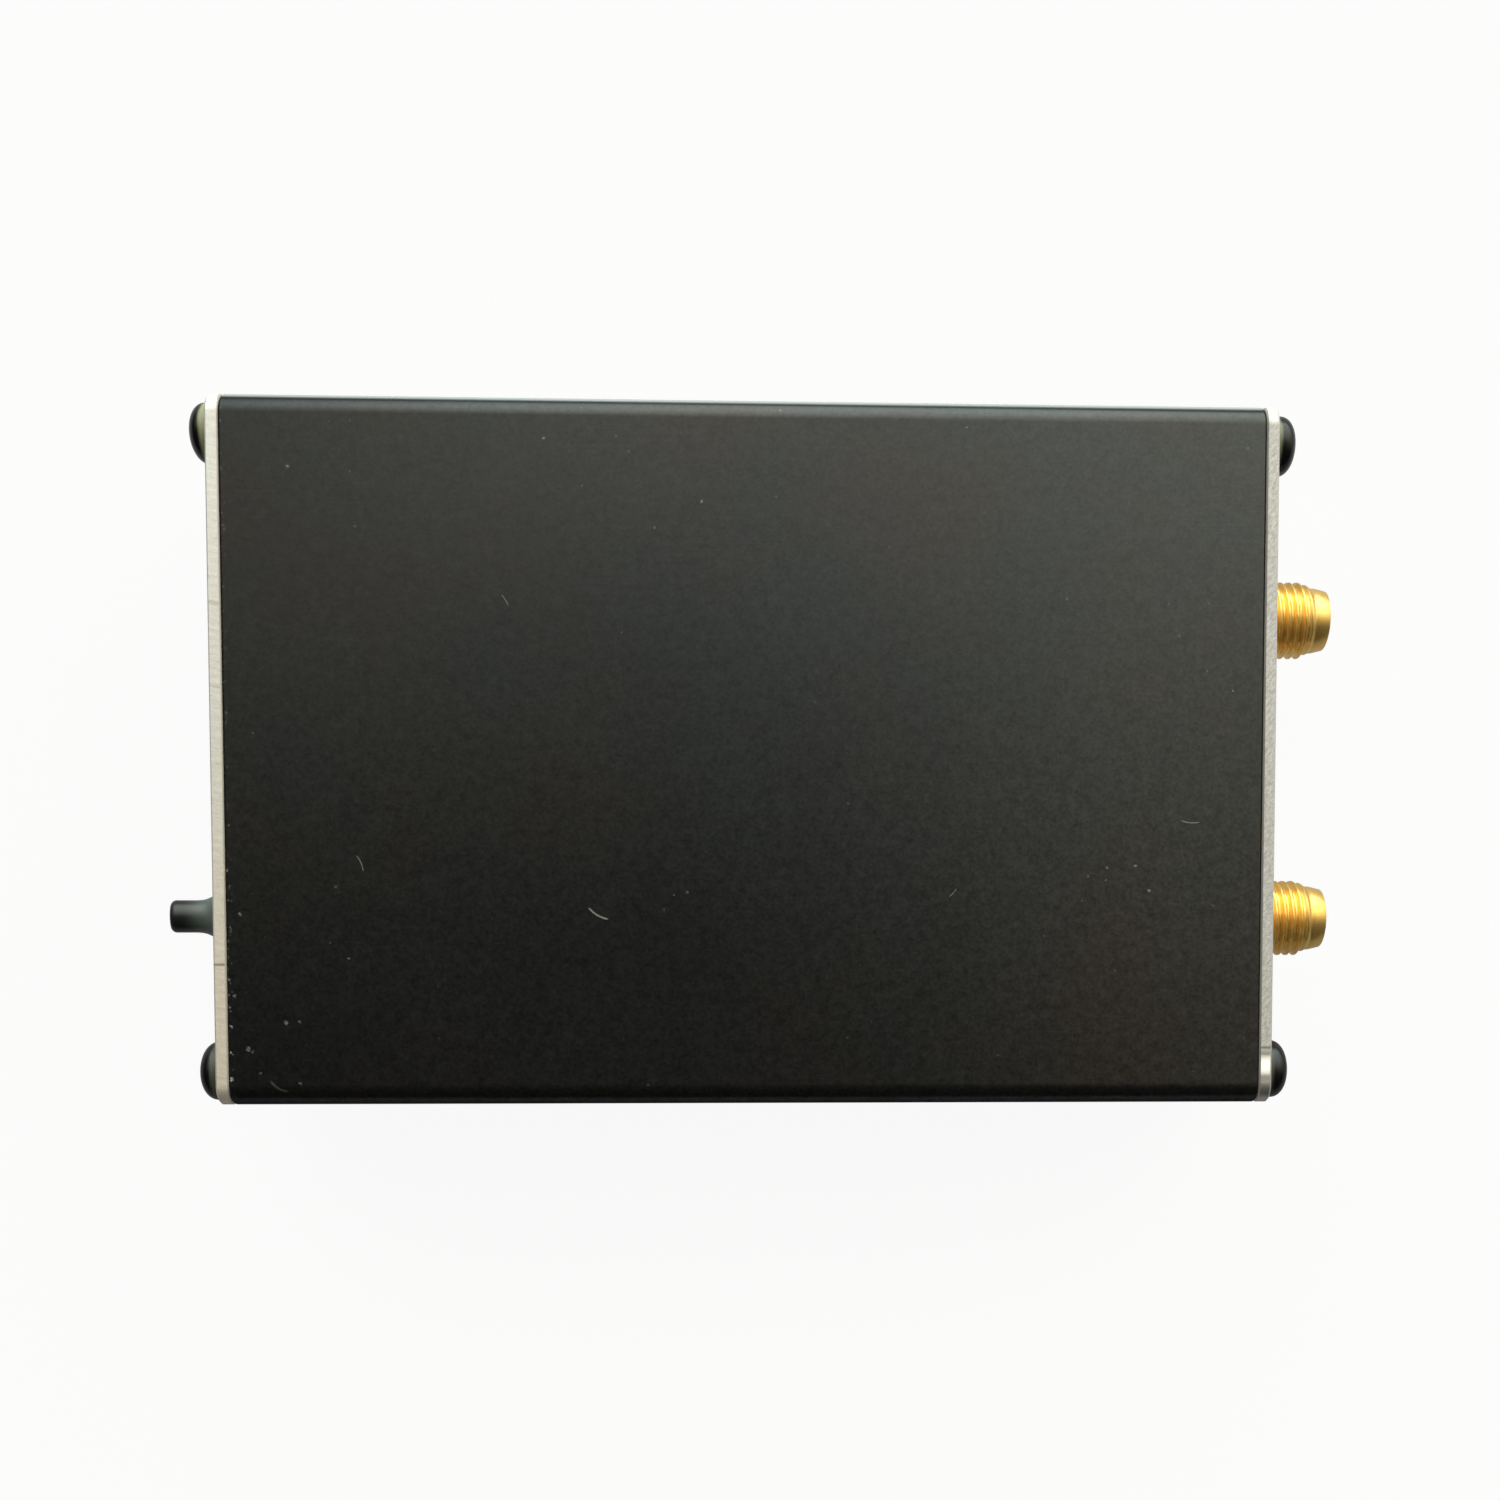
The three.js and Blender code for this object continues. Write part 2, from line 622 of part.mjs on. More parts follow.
/** The toggle: a tapering lever on a cross pin, its sprung plunger, and the contact it rocks. */
function buildSwitch() {
  const front = -halfLength + switchBodySetback;
  const rear = front + switchBodyLength;
  const half = switchBodyWidth / 2;
  const top = partSeat + switchBodyHeight;
  const inner = half - switchBodyWall;
  const innerRear = rear - switchBodyWall;

  // Terminals: three flat blades through the rear wall, each bent down to the board
  const rockerX = pivotX + leverTailLength + plungerReach + rockerGap + rockerThickness / 2;
  const bladeHalf = terminalThickness / 2;
  const blades = [-1, 0, 1].map((row) => {
    const z = pivotHeight + row * terminalPitch;
    const start = row === 0 ? rockerX + rockerThickness / 2 + rockerGap : innerRear - terminalInner;
    const bend = rear + (row + 2) * terminalReach;
    return { z, start, bend };
  });
  const windows = blades.map(({ z, start }) => solid(block(
    start,
    rear + cutOverrun,
    switchPlace - terminalWidth / 2 - terminalFit,
    switchPlace + terminalWidth / 2 + terminalFit,
    z - bladeHalf - terminalFit,
    z + bladeHalf + terminalFit,
  )));
  blades.forEach(({ z, start, bend }, index) => {
    const profile = outline([
      [start, z - bladeHalf],
      [bend - bladeHalf, z - bladeHalf],
      [bend - bladeHalf, partSeat],
      [bend + bladeHalf, partSeat],
      [bend + bladeHalf, z + bladeHalf],
      [start, z + bladeHalf],
    ]);
    const blade = alongY(profile, switchPlace - terminalWidth / 2, switchPlace + terminalWidth / 2);
    piece(`switch_terminal_${index + 1}`, blade, nickelPlate);
  });

  // Housing with its cavity open to the front and a hole in each side for the pivot pin
  const across = (radius, halfRun) => {
    const pin = rod(-halfRun, halfRun, radius, smallSteps).rotateZ(Math.PI / 2);
    return pin.translate(pivotX, switchPlace, pivotHeight);
  };
  const housing = solid(block(front, rear, switchPlace - half, switchPlace + half, partSeat, top));
  const cavity = solid(block(
    front - cutOverrun,
    innerRear,
    switchPlace - inner,
    switchPlace + inner,
    partSeat + switchBodyWall,
    top - switchBodyWall,
  ));
  const pinHole = solid(across(pivotPinRadius + pivotPinFit, half + cutOverrun));
  piece("switch_housing", cut(housing, [cavity, pinHole, ...windows]), blackMoulding);
  piece("switch_pivot_pin", across(pivotPinRadius, half), nickelPlate);

  // Frame: a front plate with the lever's mouth, a strap down each side and two feet
  const plateRear = front - switchFrameGap;
  const plateFront = plateRear - switchFrameThickness;
  const plate = solid(block(
    plateFront,
    plateRear,
    switchPlace - half - switchFrameGap - switchFrameThickness,
    switchPlace + half + switchFrameGap + switchFrameThickness,
    partSeat,
    top,
  ));
  const straps = [-1, 1].flatMap((side) => {
    const y0 = switchPlace + side * (half + switchFrameGap);
    const y1 = y0 + side * switchFrameThickness;
    const strapRear = plateFront + switchStrapLength;
    const strapFloor = pivotHeight - switchStrapHeight / 2;
    const strapRoof = pivotHeight + switchStrapHeight / 2;
    return [
      solid(block(plateFront, strapRear, y0, y1, strapFloor, strapRoof)),
      solid(block(strapRear - switchFootLength, strapRear, y0, y1, partSeat, strapRoof)),
    ];
  });
  const mouthWidth = 2 * (leverNeckRadius + leverClearance);
  const mouthShape = roundedRectangle(
    switchPlace,
    pivotHeight,
    mouthWidth,
    2 * leverSweep(-plateFront, leverNeckRadius),
    mouthWidth / 2,
  );
  const mouth = solid(alongX(mouthShape, plateFront - cutOverrun, plateRear + cutOverrun));
  piece("switch_frame", join([plate, ...straps]).subtract(mouth), nickelPlate);

  // Lever and plunger, drawn level about the pivot and then tipped up to the upper position
  const tipped = new THREE.Group();
  tipped.position.set(pivotX, switchPlace, pivotHeight);
  tipped.rotation.y = leverRest;
  object.add(tipped);
  const length = (panelOuter + leverReach + pivotX) / Math.cos(leverRest);
  const profile = [[-length, 0]];
  for (let step = 0; step <= crownSteps; step++) {
    const angle = (step / crownSteps) * (Math.PI / 2);
    profile.push([
      -length + leverTipRounding * (1 - Math.cos(angle)),
      leverRadius - leverTipRounding * (1 - Math.sin(angle)),
    ]);
  }
  const skirtFloor = -(panelOuter + pivotX) - leverSkirtGap;
  const skirtTop = skirtFloor - leverSkirtRim;
  for (let step = 0; step <= crownSteps; step++) {
    const share = step / crownSteps;
    profile.push([
      skirtTop - leverFlareLength * (1 - share),
      leverRadius + (leverSkirtRadius - leverRadius) * share ** leverFlarePower,
    ]);
  }
  const ballTop = Math.sqrt(leverBallRadius ** 2 - leverNeckRadius ** 2);
  profile.push([skirtFloor, leverSkirtRadius], [skirtFloor, leverNeckRadius], [-ballTop, leverNeckRadius]);
  const ballBottom = Math.sqrt(leverBallRadius ** 2 - leverTailRadius ** 2);
  for (let step = 1; step < crownSteps; step++) {
    const along = THREE.MathUtils.lerp(-ballTop, ballBottom, step / crownSteps);
    profile.push([along, Math.sqrt(leverBallRadius ** 2 - along ** 2)]);
  }
  profile.push([ballBottom, leverTailRadius], [leverTailLength, leverTailRadius], [leverTailLength, 0]);
  const eyeHalf = leverBallRadius + cutOverrun;
  const eye = rod(-eyeHalf, eyeHalf, pivotPinRadius + pivotPinFit, smallSteps).rotateZ(Math.PI / 2);
  const plungerBore = solid(rod(
    leverTailLength - plungerBoreDepth,
    leverTailLength + cutOverrun,
    plungerRadius + plungerFit,
    smallSteps,
  ));
  const lever = cut(solid(turned(profile, leverSteps)), [solid(eye), plungerBore]);
  piece("switch_lever", lever, blackMoulding, tipped);
  const plungerEnd = leverTailLength + plungerReach;
  const plunger = turned([
    [leverTailLength - plungerBoreDepth + plungerFit, 0],
    [leverTailLength - plungerBoreDepth + plungerFit, plungerRadius],
    [plungerEnd - plungerRadius, plungerRadius],
    [plungerEnd - plungerRadius / 2, plungerRadius * Math.sin(Math.PI / 3)],
    [plungerEnd, 0],
  ], smallSteps);
  piece("switch_plunger", plunger, nickelPlate, tipped);

  // The rocking contact lies across the middle terminal, tipped by the plunger
  const rocker = new THREE.Group();
  rocker.position.set(rockerX, switchPlace, pivotHeight);
  rocker.rotation.y = -rockerTilt;
  object.add(rocker);
  const arm = rockerLength / 2;
  const plateHalf = rockerThickness / 2;
  const rockerShape = outline([
    [-plateHalf, -arm],
    [plateHalf, -arm],
    [plateHalf, arm],
    [-plateHalf, arm],
    [-plateHalf / 2, 0],
  ]);
  piece("switch_rocker", alongY(rockerShape, -rockerWidth / 2, rockerWidth / 2), nickelPlate, rocker);
}

/** A moulded package whose four sides draft in towards its top and its underside. */
function mouldedBody(length, width, height) {
  const draft = height * draftShare;
  const section = (span) => outline([
    [-span / 2 + draft, 0],
    [span / 2 - draft, 0],
    [span / 2, height / 2],
    [span / 2 - draft, height],
    [-span / 2 + draft, height],
    [-span / 2, height / 2],
  ]);
  return solid(alongY(section(length), -width / 2, width / 2))
    .intersect(solid(alongX(section(width), -length / 2, length / 2)));
}

/** A gull-wing lead, leaving a package of the given height at y = edge and bent down to its foot. */
function gullWing(x, edge, { height, reach, leadWidth }) {
  const knee = edge + reach * leadKneeShare;
  const profile = outline([
    [edge - leadThickness, height / 2],
    [knee - leadThickness, height / 2],
    [knee, 0],
    [edge + reach, 0],
    [edge + reach, leadThickness],
    [knee + leadThickness, leadThickness],
    [knee, height / 2 + leadThickness],
    [edge - leadThickness, height / 2 + leadThickness],
  ]);
  return alongX(profile, x - leadWidth / 2, x + leadWidth / 2);
}

/** A leaded package with a row of leads on each side asked for: 0 is +Y, 1 -X, 2 -Y and 3 +X. */
function leadedChip(size, sides) {
  const { length, width, height, pitch, leads } = size;
  const body = mouldedBody(length, width, height).translate([0, 0, leadThickness]);
  const rows = sides.flatMap((side) => Array.from({ length: leads }, (_, index) => {
    const x = (index - (leads - 1) / 2) * pitch;
    const lead = gullWing(x, (side % 2 ? length : width) / 2, size);
    return solid(lead.rotateZ(side * Math.PI / 2));
  }));
  return surface(join([body, ...rows]));
}

/** A plain block component with bevelled edges, standing on z = 0. */
function bevelledBlock({ length, width, height, radius }) {
  const plan = roundedRectangle(0, 0, length - 2 * blockBevel, width - 2 * blockBevel, radius);
  return new THREE.ExtrudeGeometry(plan, {
    depth: height - 2 * blockBevel,
    bevelThickness: blockBevel,
    bevelSize: blockBevel,
    bevelSegments: 1,
    curveSegments: 2,
  }).translate(0, 0, blockBevel);
}

/** Everything soldered on the board besides the jacks, the socket and the switch. */
function buildComponents() {
  const boardLength = boardFront - boardRear;
  const boardMiddle = (boardFront + boardRear) / 2;
  const rows = [0, 2];
  const quad = [0, 1, 2, 3];
  // Each place is a pair of shares of the board's length and width, from its middle
  const components = [
    ["controller_chip", [-0.08, 0.09], leadedChip(controllerChip, quad), chipResin],
    ["usb_serial_chip", [-0.27, 0.17], leadedChip(serialChip, rows), chipResin],
    ["mixer_chip", [0.27, 0.02], leadedChip(smallChip, rows), chipResin],
    ["log_detector_chip", [0.1, -0.06], leadedChip(smallChip, rows), chipResin],
    ["regulator_1", [-0.2, -0.06], leadedChip(regulatorChip, rows), chipResin],
    ["regulator_2", [-0.05, -0.3], leadedChip(regulatorChip, rows), chipResin],
    ["synthesizer_1", [0.27, 0.24], bevelledBlock(synthesizerBlock), chipResin],
    ["synthesizer_2", [0.27, -0.22], bevelledBlock(synthesizerBlock), chipResin],
    ["band_filter", [0.17, 0.1], bevelledBlock(filterBlock), nickelPlate],
    ["reference_oscillator", [0.1, 0.3], bevelledBlock(oscillatorBlock), nickelPlate],
    ["controller_crystal", [-0.08, 0.33], bevelledBlock(crystalBlock), nickelPlate],
    ["tantalum_capacitor_1", [-0.2, -0.24], bevelledBlock(tantalumBlock), tantalumResin],
    ["tantalum_capacitor_2", [-0.05, -0.14], bevelledBlock(tantalumBlock), tantalumResin],
    ["tantalum_capacitor_3", [0.12, -0.3], bevelledBlock(tantalumBlock), tantalumResin],
    ["power_inductor", [-0.32, -0.05], bevelledBlock(inductorBlock), chipResin],
    ["power_led", [-0.42, -0.02], bevelledBlock(ledBlock), ledResin],
    ["activity_led", [-0.42, 0.04], bevelledBlock(ledBlock), ledResin],
  ];
  for (const [name, [lengthShare, widthShare], shape, finish] of components) {
    const x = boardMiddle + lengthShare * boardLength;
    const y = widthShare * 2 * boardHalfWidth;
    piece(name, shape.translate(x, y, partSeat), finish);
  }
}

buildCase();
buildPanels();
buildBoard();
jackPlaces.forEach((y, index) => coaxialJack(y, index + 1));
buildUsbSocket();
buildSwitch();
buildComponents();

export default object;
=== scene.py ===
"""The looks of a pocket USB spectrum analyzer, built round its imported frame.

The case is a black anodised split extrusion between two bright end panels. Two gold coaxial jacks stand
out of the front panel at +X, and a small black lever out of the rear panel at -X. Shapes are worked out in
millimetres, as arrays of points, and each finished mesh is brought to metres.
"""
import json
import math

import bmesh
import bpy
import numpy as np
from mathutils import Matrix, Vector


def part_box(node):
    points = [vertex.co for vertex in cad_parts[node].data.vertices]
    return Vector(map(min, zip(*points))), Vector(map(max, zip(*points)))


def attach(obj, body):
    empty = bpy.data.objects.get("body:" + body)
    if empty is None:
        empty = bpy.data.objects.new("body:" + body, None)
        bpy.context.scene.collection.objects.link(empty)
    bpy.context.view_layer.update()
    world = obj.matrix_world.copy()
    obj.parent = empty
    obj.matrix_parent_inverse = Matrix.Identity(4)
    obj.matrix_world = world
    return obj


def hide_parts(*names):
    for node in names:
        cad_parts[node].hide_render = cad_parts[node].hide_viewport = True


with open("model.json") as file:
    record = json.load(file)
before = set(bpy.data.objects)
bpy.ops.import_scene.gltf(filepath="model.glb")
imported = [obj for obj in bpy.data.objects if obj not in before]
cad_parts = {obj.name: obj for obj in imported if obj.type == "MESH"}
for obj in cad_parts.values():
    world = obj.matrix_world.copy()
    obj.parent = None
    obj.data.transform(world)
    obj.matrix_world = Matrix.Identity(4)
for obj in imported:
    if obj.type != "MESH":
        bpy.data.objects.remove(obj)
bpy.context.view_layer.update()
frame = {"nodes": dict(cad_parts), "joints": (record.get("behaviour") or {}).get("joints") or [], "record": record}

MM = 0.001


def span(node):
    """The lowest and highest corner of a frame node, in millimetres."""
    low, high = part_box(node)
    return np.array(low) / MM, np.array(high) / MM


# Sizes of the case, in millimetres
CASE_END, HALF_WIDTH, HEIGHT = span("upper_shell")[1]
SPLIT = HEIGHT / 2
WALL = 1.5
EDGE_RADIUS = 1.7
TONGUE_HEIGHT = 1.0
TONGUE_THICKNESS = 0.65
TONGUE_CLEARANCE = 0.12
RIB_REACH = 1.6
RIB_THICKNESS = 1.0
BOARD_LOW, BOARD_HIGH = span("circuit_board")
BOARD_SLOT = 0.1
BOSS_RADIUS = 2.3
BORE_RADIUS = 1.35
SLIT_WIDTH = 1.1
SOFT_CORNER = 0.12
CORNER_STEPS = 20
SHELL_CHAMFER = 0.1
END_STEPS = 4
NICK_REACH = 0.5

# Sizes of the end panels
PANEL_INNER = span("front_panel")[0][0]
PANEL_OUTER = span("front_panel")[1][0]
PANEL_CHAMFER = 0.13
SEAM_REACH = 0.16
BURR_START = -22.8
BURR_LEAD = 0.5
BURR_WIDTH = 2.3
REAR_MARK_LINE = -16.3
PANEL_HOLE = 1.65

# Sizes of the screws
SCREW_Y = HALF_WIDTH - 2.5
SCREW_Z = 3.3
HEAD_RADIUS = 2.3
HEAD_RIM = 0.7
HEAD_HEIGHT = 1.9
HEAD_EDGE = 0.12
CROWN_POWER = 0.75
SHANK_RADIUS = 1.25
SHANK_LENGTH = 7.0
SHANK_TIP = 0.8
RECESS_SPAN = 2.6
RECESS_WIDTH = 0.62
RECESS_DEPTH = 1.15
RECESS_TAPER = 0.45
RECESS_CORNER = 0.12
RECESS_PAST = 0.3
SEAT = 0.05
# The turn at which each screw was left, in degrees
SCREW_TURNS = (11, 64, 37, 82, 25, 71, 5, 48)

# Sizes of the coaxial jacks
JACK_LOW, JACK_HIGH = span("rf_jack_1_body")
JACK_TIP = JACK_HIGH[0]
JACK_Z = (JACK_LOW[2] + JACK_HIGH[2]) / 2
THREAD_RADIUS = 3.175
THREAD_PITCH = 25.4 / 36
THREAD_DEPTH = 0.32
# The thread's rows of points in each pitch, and how wide and how steep its groove is
THREAD_ROWS = 14
THREAD_WIDTH = 1.35
THREAD_SLOPE = 3.4
TIP_RADIUS = 2.7
TIP_LENGTH = 1.2
TIP_TAPER = 0.95
TIP_EDGE = 0.06
TIP_START = 0.05
SHOULDER_LENGTH = 0.9
RELIEF_RADIUS = 2.75
RELIEF_LENGTH = 0.9
FLANGE_WIDTH = 6.35
FLANGE_THICKNESS = 1.6
FLANGE_FRONT = CASE_END - 0.2
FLANGE_BACK = FLANGE_FRONT - FLANGE_THICKNESS
FLANGE_MIDDLE = FLANGE_FRONT - FLANGE_THICKNESS / 2
FLANGE_EDGE = 0.12
LEG_WIDTH = 1.0
LEG_EDGE = 0.08
MOUTH_RADIUS = 2.31
MOUTH_FLOOR = JACK_TIP - 1.93
BORE_OF_JACK = 2.1
BORE_EASE = 0.01
INSULATOR_RADIUS = 2.05
INSULATOR_EDGE = 0.06
CONTACT_RADIUS = 0.635
CONTACT_BACK_EDGE = 0.1
CONTACT_TIP_EDGE = 0.08
CONTACT_MOUTH_DEPTH = 0.05
CONTACT_MOUTH_WIDTH = 0.04
CONTACT_BORE = 0.46
CONTACT_BORE_DEPTH = 2.6
CONTACT_BORE_POINT = 0.25
CONTACT_SLIT = 0.16
# The turn of each jack's contact, in degrees
CONTACT_TURNS = (45, 70)
JACK_HOLE = THREAD_RADIUS + 0.2

# Sizes of the USB socket
USB_LOW, USB_HIGH = span("usb_shell")
USB_Y = (USB_LOW[1] + USB_HIGH[1]) / 2
USB_HALF_WIDTH = 3.85
USB_HALF_FOOT = 2.95
USB_HEIGHT = USB_HIGH[2] - USB_LOW[2]
USB_STEPS = (1.2, 1.8)
USB_WALL = 0.3
USB_CORNER = 0.55
USB_WINDOW_GAP = 0.35
USB_TAB_LENGTH = 1.5
USB_TAB_REACH = 0.9
USB_TAB_INSET = 1.2
USB_TAB_EDGE = 0.05

# Sizes of the lever, along it from its pivot towards its tip
PIVOT = np.array(frame["joints"][0]["pos_m"]) / MM
LEVER_TILT = math.radians(12.5)
LEVER_REACH = 5.35
LEVER_SHORTENED = 0.02
LEVER_LENGTH = (PANEL_OUTER + LEVER_REACH + PIVOT[0]) / math.cos(LEVER_TILT) - LEVER_SHORTENED
LEVER_RADIUS = 1.3
LEVER_ROUNDING = 0.45
SKIRT_RADIUS = 2.8
SKIRT_RIM = 0.35
SKIRT_GAP = 1.05
SKIRT_FLOOR = PANEL_OUTER + SKIRT_GAP + PIVOT[0]
FLARE_LENGTH = 2.4
FLARE_POWER = 2.7
NECK_RADIUS = 1.1
BALL_RADIUS = 1.6
TAIL_RADIUS = 0.85
TAIL_LENGTH = 2.1
TAIL_EDGE = 0.1
PIN_HOLE = 0.53
PLUNGER_HOLE = 0.48
PLUNGER_DEPTH = 1.1
LEVER_CLEARANCE = 0.35
PALE_REACH = 8.3

# Rounding of the inner pieces' edges, and the reach within which their doubled points are merged
INNER_EDGE = 0.03
INNER_CREASE = 40
INNER_MERGE = 0.002
# How far a cutting shape reaches past what it cuts, how far faces are kept apart that would coincide, and
# how near each other points are merged
PAST = 1.0
HAIR = 0.001
MERGE_REACH = 1e-5
# The turns in degrees past which an outline's corner is rounded, and an edge looks sharp
SHARP_TURN = 25
CREASE = 32

# The camera, fitted to the case's edges in the photograph, which is 1500 pixels square
PHOTO_SIDE = 1500
FOCAL_PIXELS = 1682.58
CENTRE_PIXELS = (859.79, 1000.0)
CAMERA_PLACE = Vector((3.477, -12.69, 153.918)) * MM
CAMERA_VIEW = Vector((0.03883, -0.04839, -0.99807))
CAMERA_UP = Vector((0.00052, 0.99883, -0.04841))
SENSOR = 36
CLIP = (0.005, 20)

# The soft lights: azimuth, elevation, the cosine at which each ends, its lean to the horizon, and its colour
# times its strength
LIGHTS = (
    (73.5, 32.6, 0.5, 0.6, (0.85, 0.92, 0.92)),
    (60, 15, 0.2, 1.0, (0.95, 0.85, 0.62)),
    (128, 45, 0.8, 0, (0.79, 0.75, 0.62)),
    (90, 5, 0.6, 0, (0.62, 0.98, 1.1)),
    (-15, 62, 0.94, 0, (0.19, 0.135, 0.09)),
)
ROOM_LIGHT = (0.022, 0.02, 0.019)
FLOOR_REACH = 3.0
FLOOR_GAP = 0.00002
FLOOR_SEEN = 0.93
FLOOR_IN_METAL = (0.24, 0.5)
BACKDROP = (0.974, 0.975, 0.967)


# Outlines and surfaces

def added(name, data):
    """An object that holds this data, in the scene."""
    made = bpy.data.objects.new(name, data)
    bpy.context.scene.collection.objects.link(made)
    return made


def arc(centre, radius, start, end, steps):
    """Points of a circle's arc, from start to end in degrees."""
    angle = np.radians(np.linspace(start, end, steps))
    return np.stack([centre[0] + radius * np.cos(angle), centre[1] + radius * np.sin(angle)], -1)


def circle(centre, radius, steps=64):
    """Points of a whole circle, without repeating the first."""
    return arc(centre, radius, 0, 360 * (1 - 1 / steps), steps)


def softened(loop, radius, steps=5):
    """A closed outline with its sharp corners rounded.

    A corner that turns by more than the sharp turn becomes an arc that touches both of its edges: its
    centre is on the corner's bisector, radius over the sine of half the corner's angle away. The arc
    takes up at most 0.45 of either edge.
    """
    place = np.asarray(loop, float)
    back, ahead = np.roll(place, 1, 0) - place, np.roll(place, -1, 0) - place
    back_length, ahead_length = np.linalg.norm(back, axis=1), np.linalg.norm(ahead, axis=1)
    back, ahead = back / back_length[:, None], ahead / ahead_length[:, None]
    half = 0.5 * np.arccos(np.clip((back * ahead).sum(1), -1, 1))
    turn = np.pi - 2 * half
    sharp = turn > np.radians(SHARP_TURN)
    half = np.where(sharp, half, np.pi / 4)
    turn = np.where(sharp, turn, np.pi / 2)
    reach = np.minimum(radius / np.tan(half), 0.45 * np.minimum(back_length, ahead_length))
    bisector = back + ahead
    bisector /= np.maximum(np.linalg.norm(bisector, axis=1), 1e-9)[:, None]
    centre = place + bisector * (reach / np.cos(half))[:, None]
    share = np.linspace(0, 1, steps)[None, :, None]
    angle = turn[:, None, None]
    start = (place + back * reach[:, None] - centre)[:, None]
    end = (place + ahead * reach[:, None] - centre)[:, None]
    rounded = (start * np.sin((1 - share) * angle) + end * np.sin(share * angle)) / np.sin(angle)
    rounded = np.where(sharp[:, None, None], rounded + centre[:, None], place[:, None])
    keep = sharp[:, None] | (np.arange(steps)[None] == 0)
    return rounded[keep]


def rounded_box(centre, width, height, radius, steps=12):
    """A rectangle's outline with round corners."""
    a, b = width / 2 - radius, height / 2 - radius
    corners = [(a, b, 0), (-a, b, 90), (-a, -b, 180), (a, -b, 270)]
    return np.vstack([
        arc((centre[0] + u, centre[1] + v), radius, angle, angle + 90, steps) for u, v, angle in corners
    ])


def drawn_in(loop, distance):
    """A counterclockwise outline moved inwards, each point along the mean normal of its two edges.

    The move is the distance over the cosine of half the turn there, so edges stay parallel.
    """
    edge = np.roll(loop, -1, 0) - loop
    edge /= np.maximum(np.linalg.norm(edge, axis=1), 1e-9)[:, None]
    inward = np.stack([-edge[:, 1], edge[:, 0]], -1)
    mean = inward + np.roll(inward, 1, 0)
    return loop + 2 * distance * mean / np.maximum((mean * mean).sum(1), 0.5)[:, None]


def grid_faces(rows, columns, wrap_rows=False):
    """The four-cornered faces of a grid of points that closes along its rows, and across them if asked."""
    r = np.arange(rows if wrap_rows else rows - 1)[:, None]
    c = np.arange(columns)[None, :]
    r2, c2 = (r + 1) % rows, (c + 1) % columns
    corners = [r * columns + c, r * columns + c2, r2 * columns + c2, r2 * columns + c]
    return np.stack(np.broadcast_arrays(*corners), -1).reshape(-1, 4)


def drafted(name, points, faces):
    """A new mesh of points and faces, with an edited form of it."""
    mesh = bpy.data.meshes.new(name)
    mesh.from_pydata(points.tolist(), [], faces)
    bm = bmesh.new()
    bm.from_mesh(mesh)
    return mesh, bm


def settled(mesh, bm):
    """A mesh that takes over its edited form, with the faces turned outwards."""
    bmesh.ops.recalc_face_normals(bm, faces=bm.faces)
    bm.to_mesh(mesh)
    bm.free()
    return mesh


def closed_mesh(name, points, faces, caps=()):
    """A mesh of points and faces, with doubled points merged and its faces turned outwards."""
    mesh, bm = drafted(name, points, faces.tolist() + [list(cap) for cap in caps])
    bmesh.ops.remove_doubles(bm, verts=bm.verts, dist=MERGE_REACH)
    return settled(mesh, bm)


def placed_along_x(loop, x):
    """An outline of (Y, Z) points set in the plane at x."""
    return np.column_stack([np.full(len(loop), float(x)), loop])


def carried(name, loop, x0, x1, chamfer):
    """An outline carried along X, its two ends drawn in by a quarter-round edge.

    At a share s of that edge the outline is chamfer * (1 - sin s) narrower and chamfer * (1 - cos s) on.
    """
    angle = np.linspace(0, np.pi / 2, END_STEPS)
    narrow, along = chamfer * (1 - np.sin(angle)), chamfer * (1 - np.cos(angle))
    rings = [placed_along_x(drawn_in(loop, n), x0 + a) for n, a in zip(narrow, along)]
    rings += [placed_along_x(drawn_in(loop, n), x1 - a) for n, a in zip(narrow[::-1], along[::-1])]
    count = len(loop)
    faces = grid_faces(len(rings), count)
    last = (len(rings) - 1) * count
    caps = [range(count), range(last, last + count)]
    return closed_mesh(name, np.vstack(rings), faces, caps)


def plate(name, outer, holes, x0, x1, chamfer):
    """A flat plate across X with holes through it, and a small bevel round every edge on both faces.

    Each outline has four rings: face, edge, edge, face. The flat faces are filled between all outlines.
    """
    points, faces, start = [], [], 0
    for loop, sign in [(outer, 1)] + [(hole, -1) for hole in holes]:
        inset = drawn_in(loop, sign * chamfer)
        rings = [(x0, inset), (x0 + chamfer, loop), (x1 - chamfer, loop), (x1, inset)]
        points += [placed_along_x(ring, x) for x, ring in rings]
        faces.append(start + grid_faces(len(rings), len(loop)))
        start += len(rings) * len(loop)
    mesh, bm = drafted(name, np.vstack(points), np.vstack(faces).tolist())
    for x in (x0, x1):
        rims = [edge for edge in bm.edges if edge.is_boundary and abs(edge.verts[0].co.x - x) < chamfer / 2]
        bmesh.ops.triangle_fill(bm, use_beauty=True, use_dissolve=False, edges=rims, normal=(1, 0, 0))
    return settled(mesh, bm)


def turned(name, profile, steps=96, ring=False):
    """A profile of (distance along X, radius) points turned round the X axis.

    Points of no radius become poles. With ring, the profile closes on itself instead.
    """
    along, radius = np.asarray(profile, float).T
    angle = np.linspace(0, 2 * np.pi, steps, endpoint=False)
    points = np.stack(np.broadcast_arrays(
        along[:, None], radius[:, None] * np.cos(angle), radius[:, None] * np.sin(angle)), -1)
    return closed_mesh(name, points.reshape(-1, 3), grid_faces(len(along), steps, wrap_rows=ring))


def rod(name, start, end, radius, steps=48):
    """A plain round rod along X, from start to end."""
    return turned(name, [(start, 0), (start, radius), (end, radius), (end, 0)], steps)


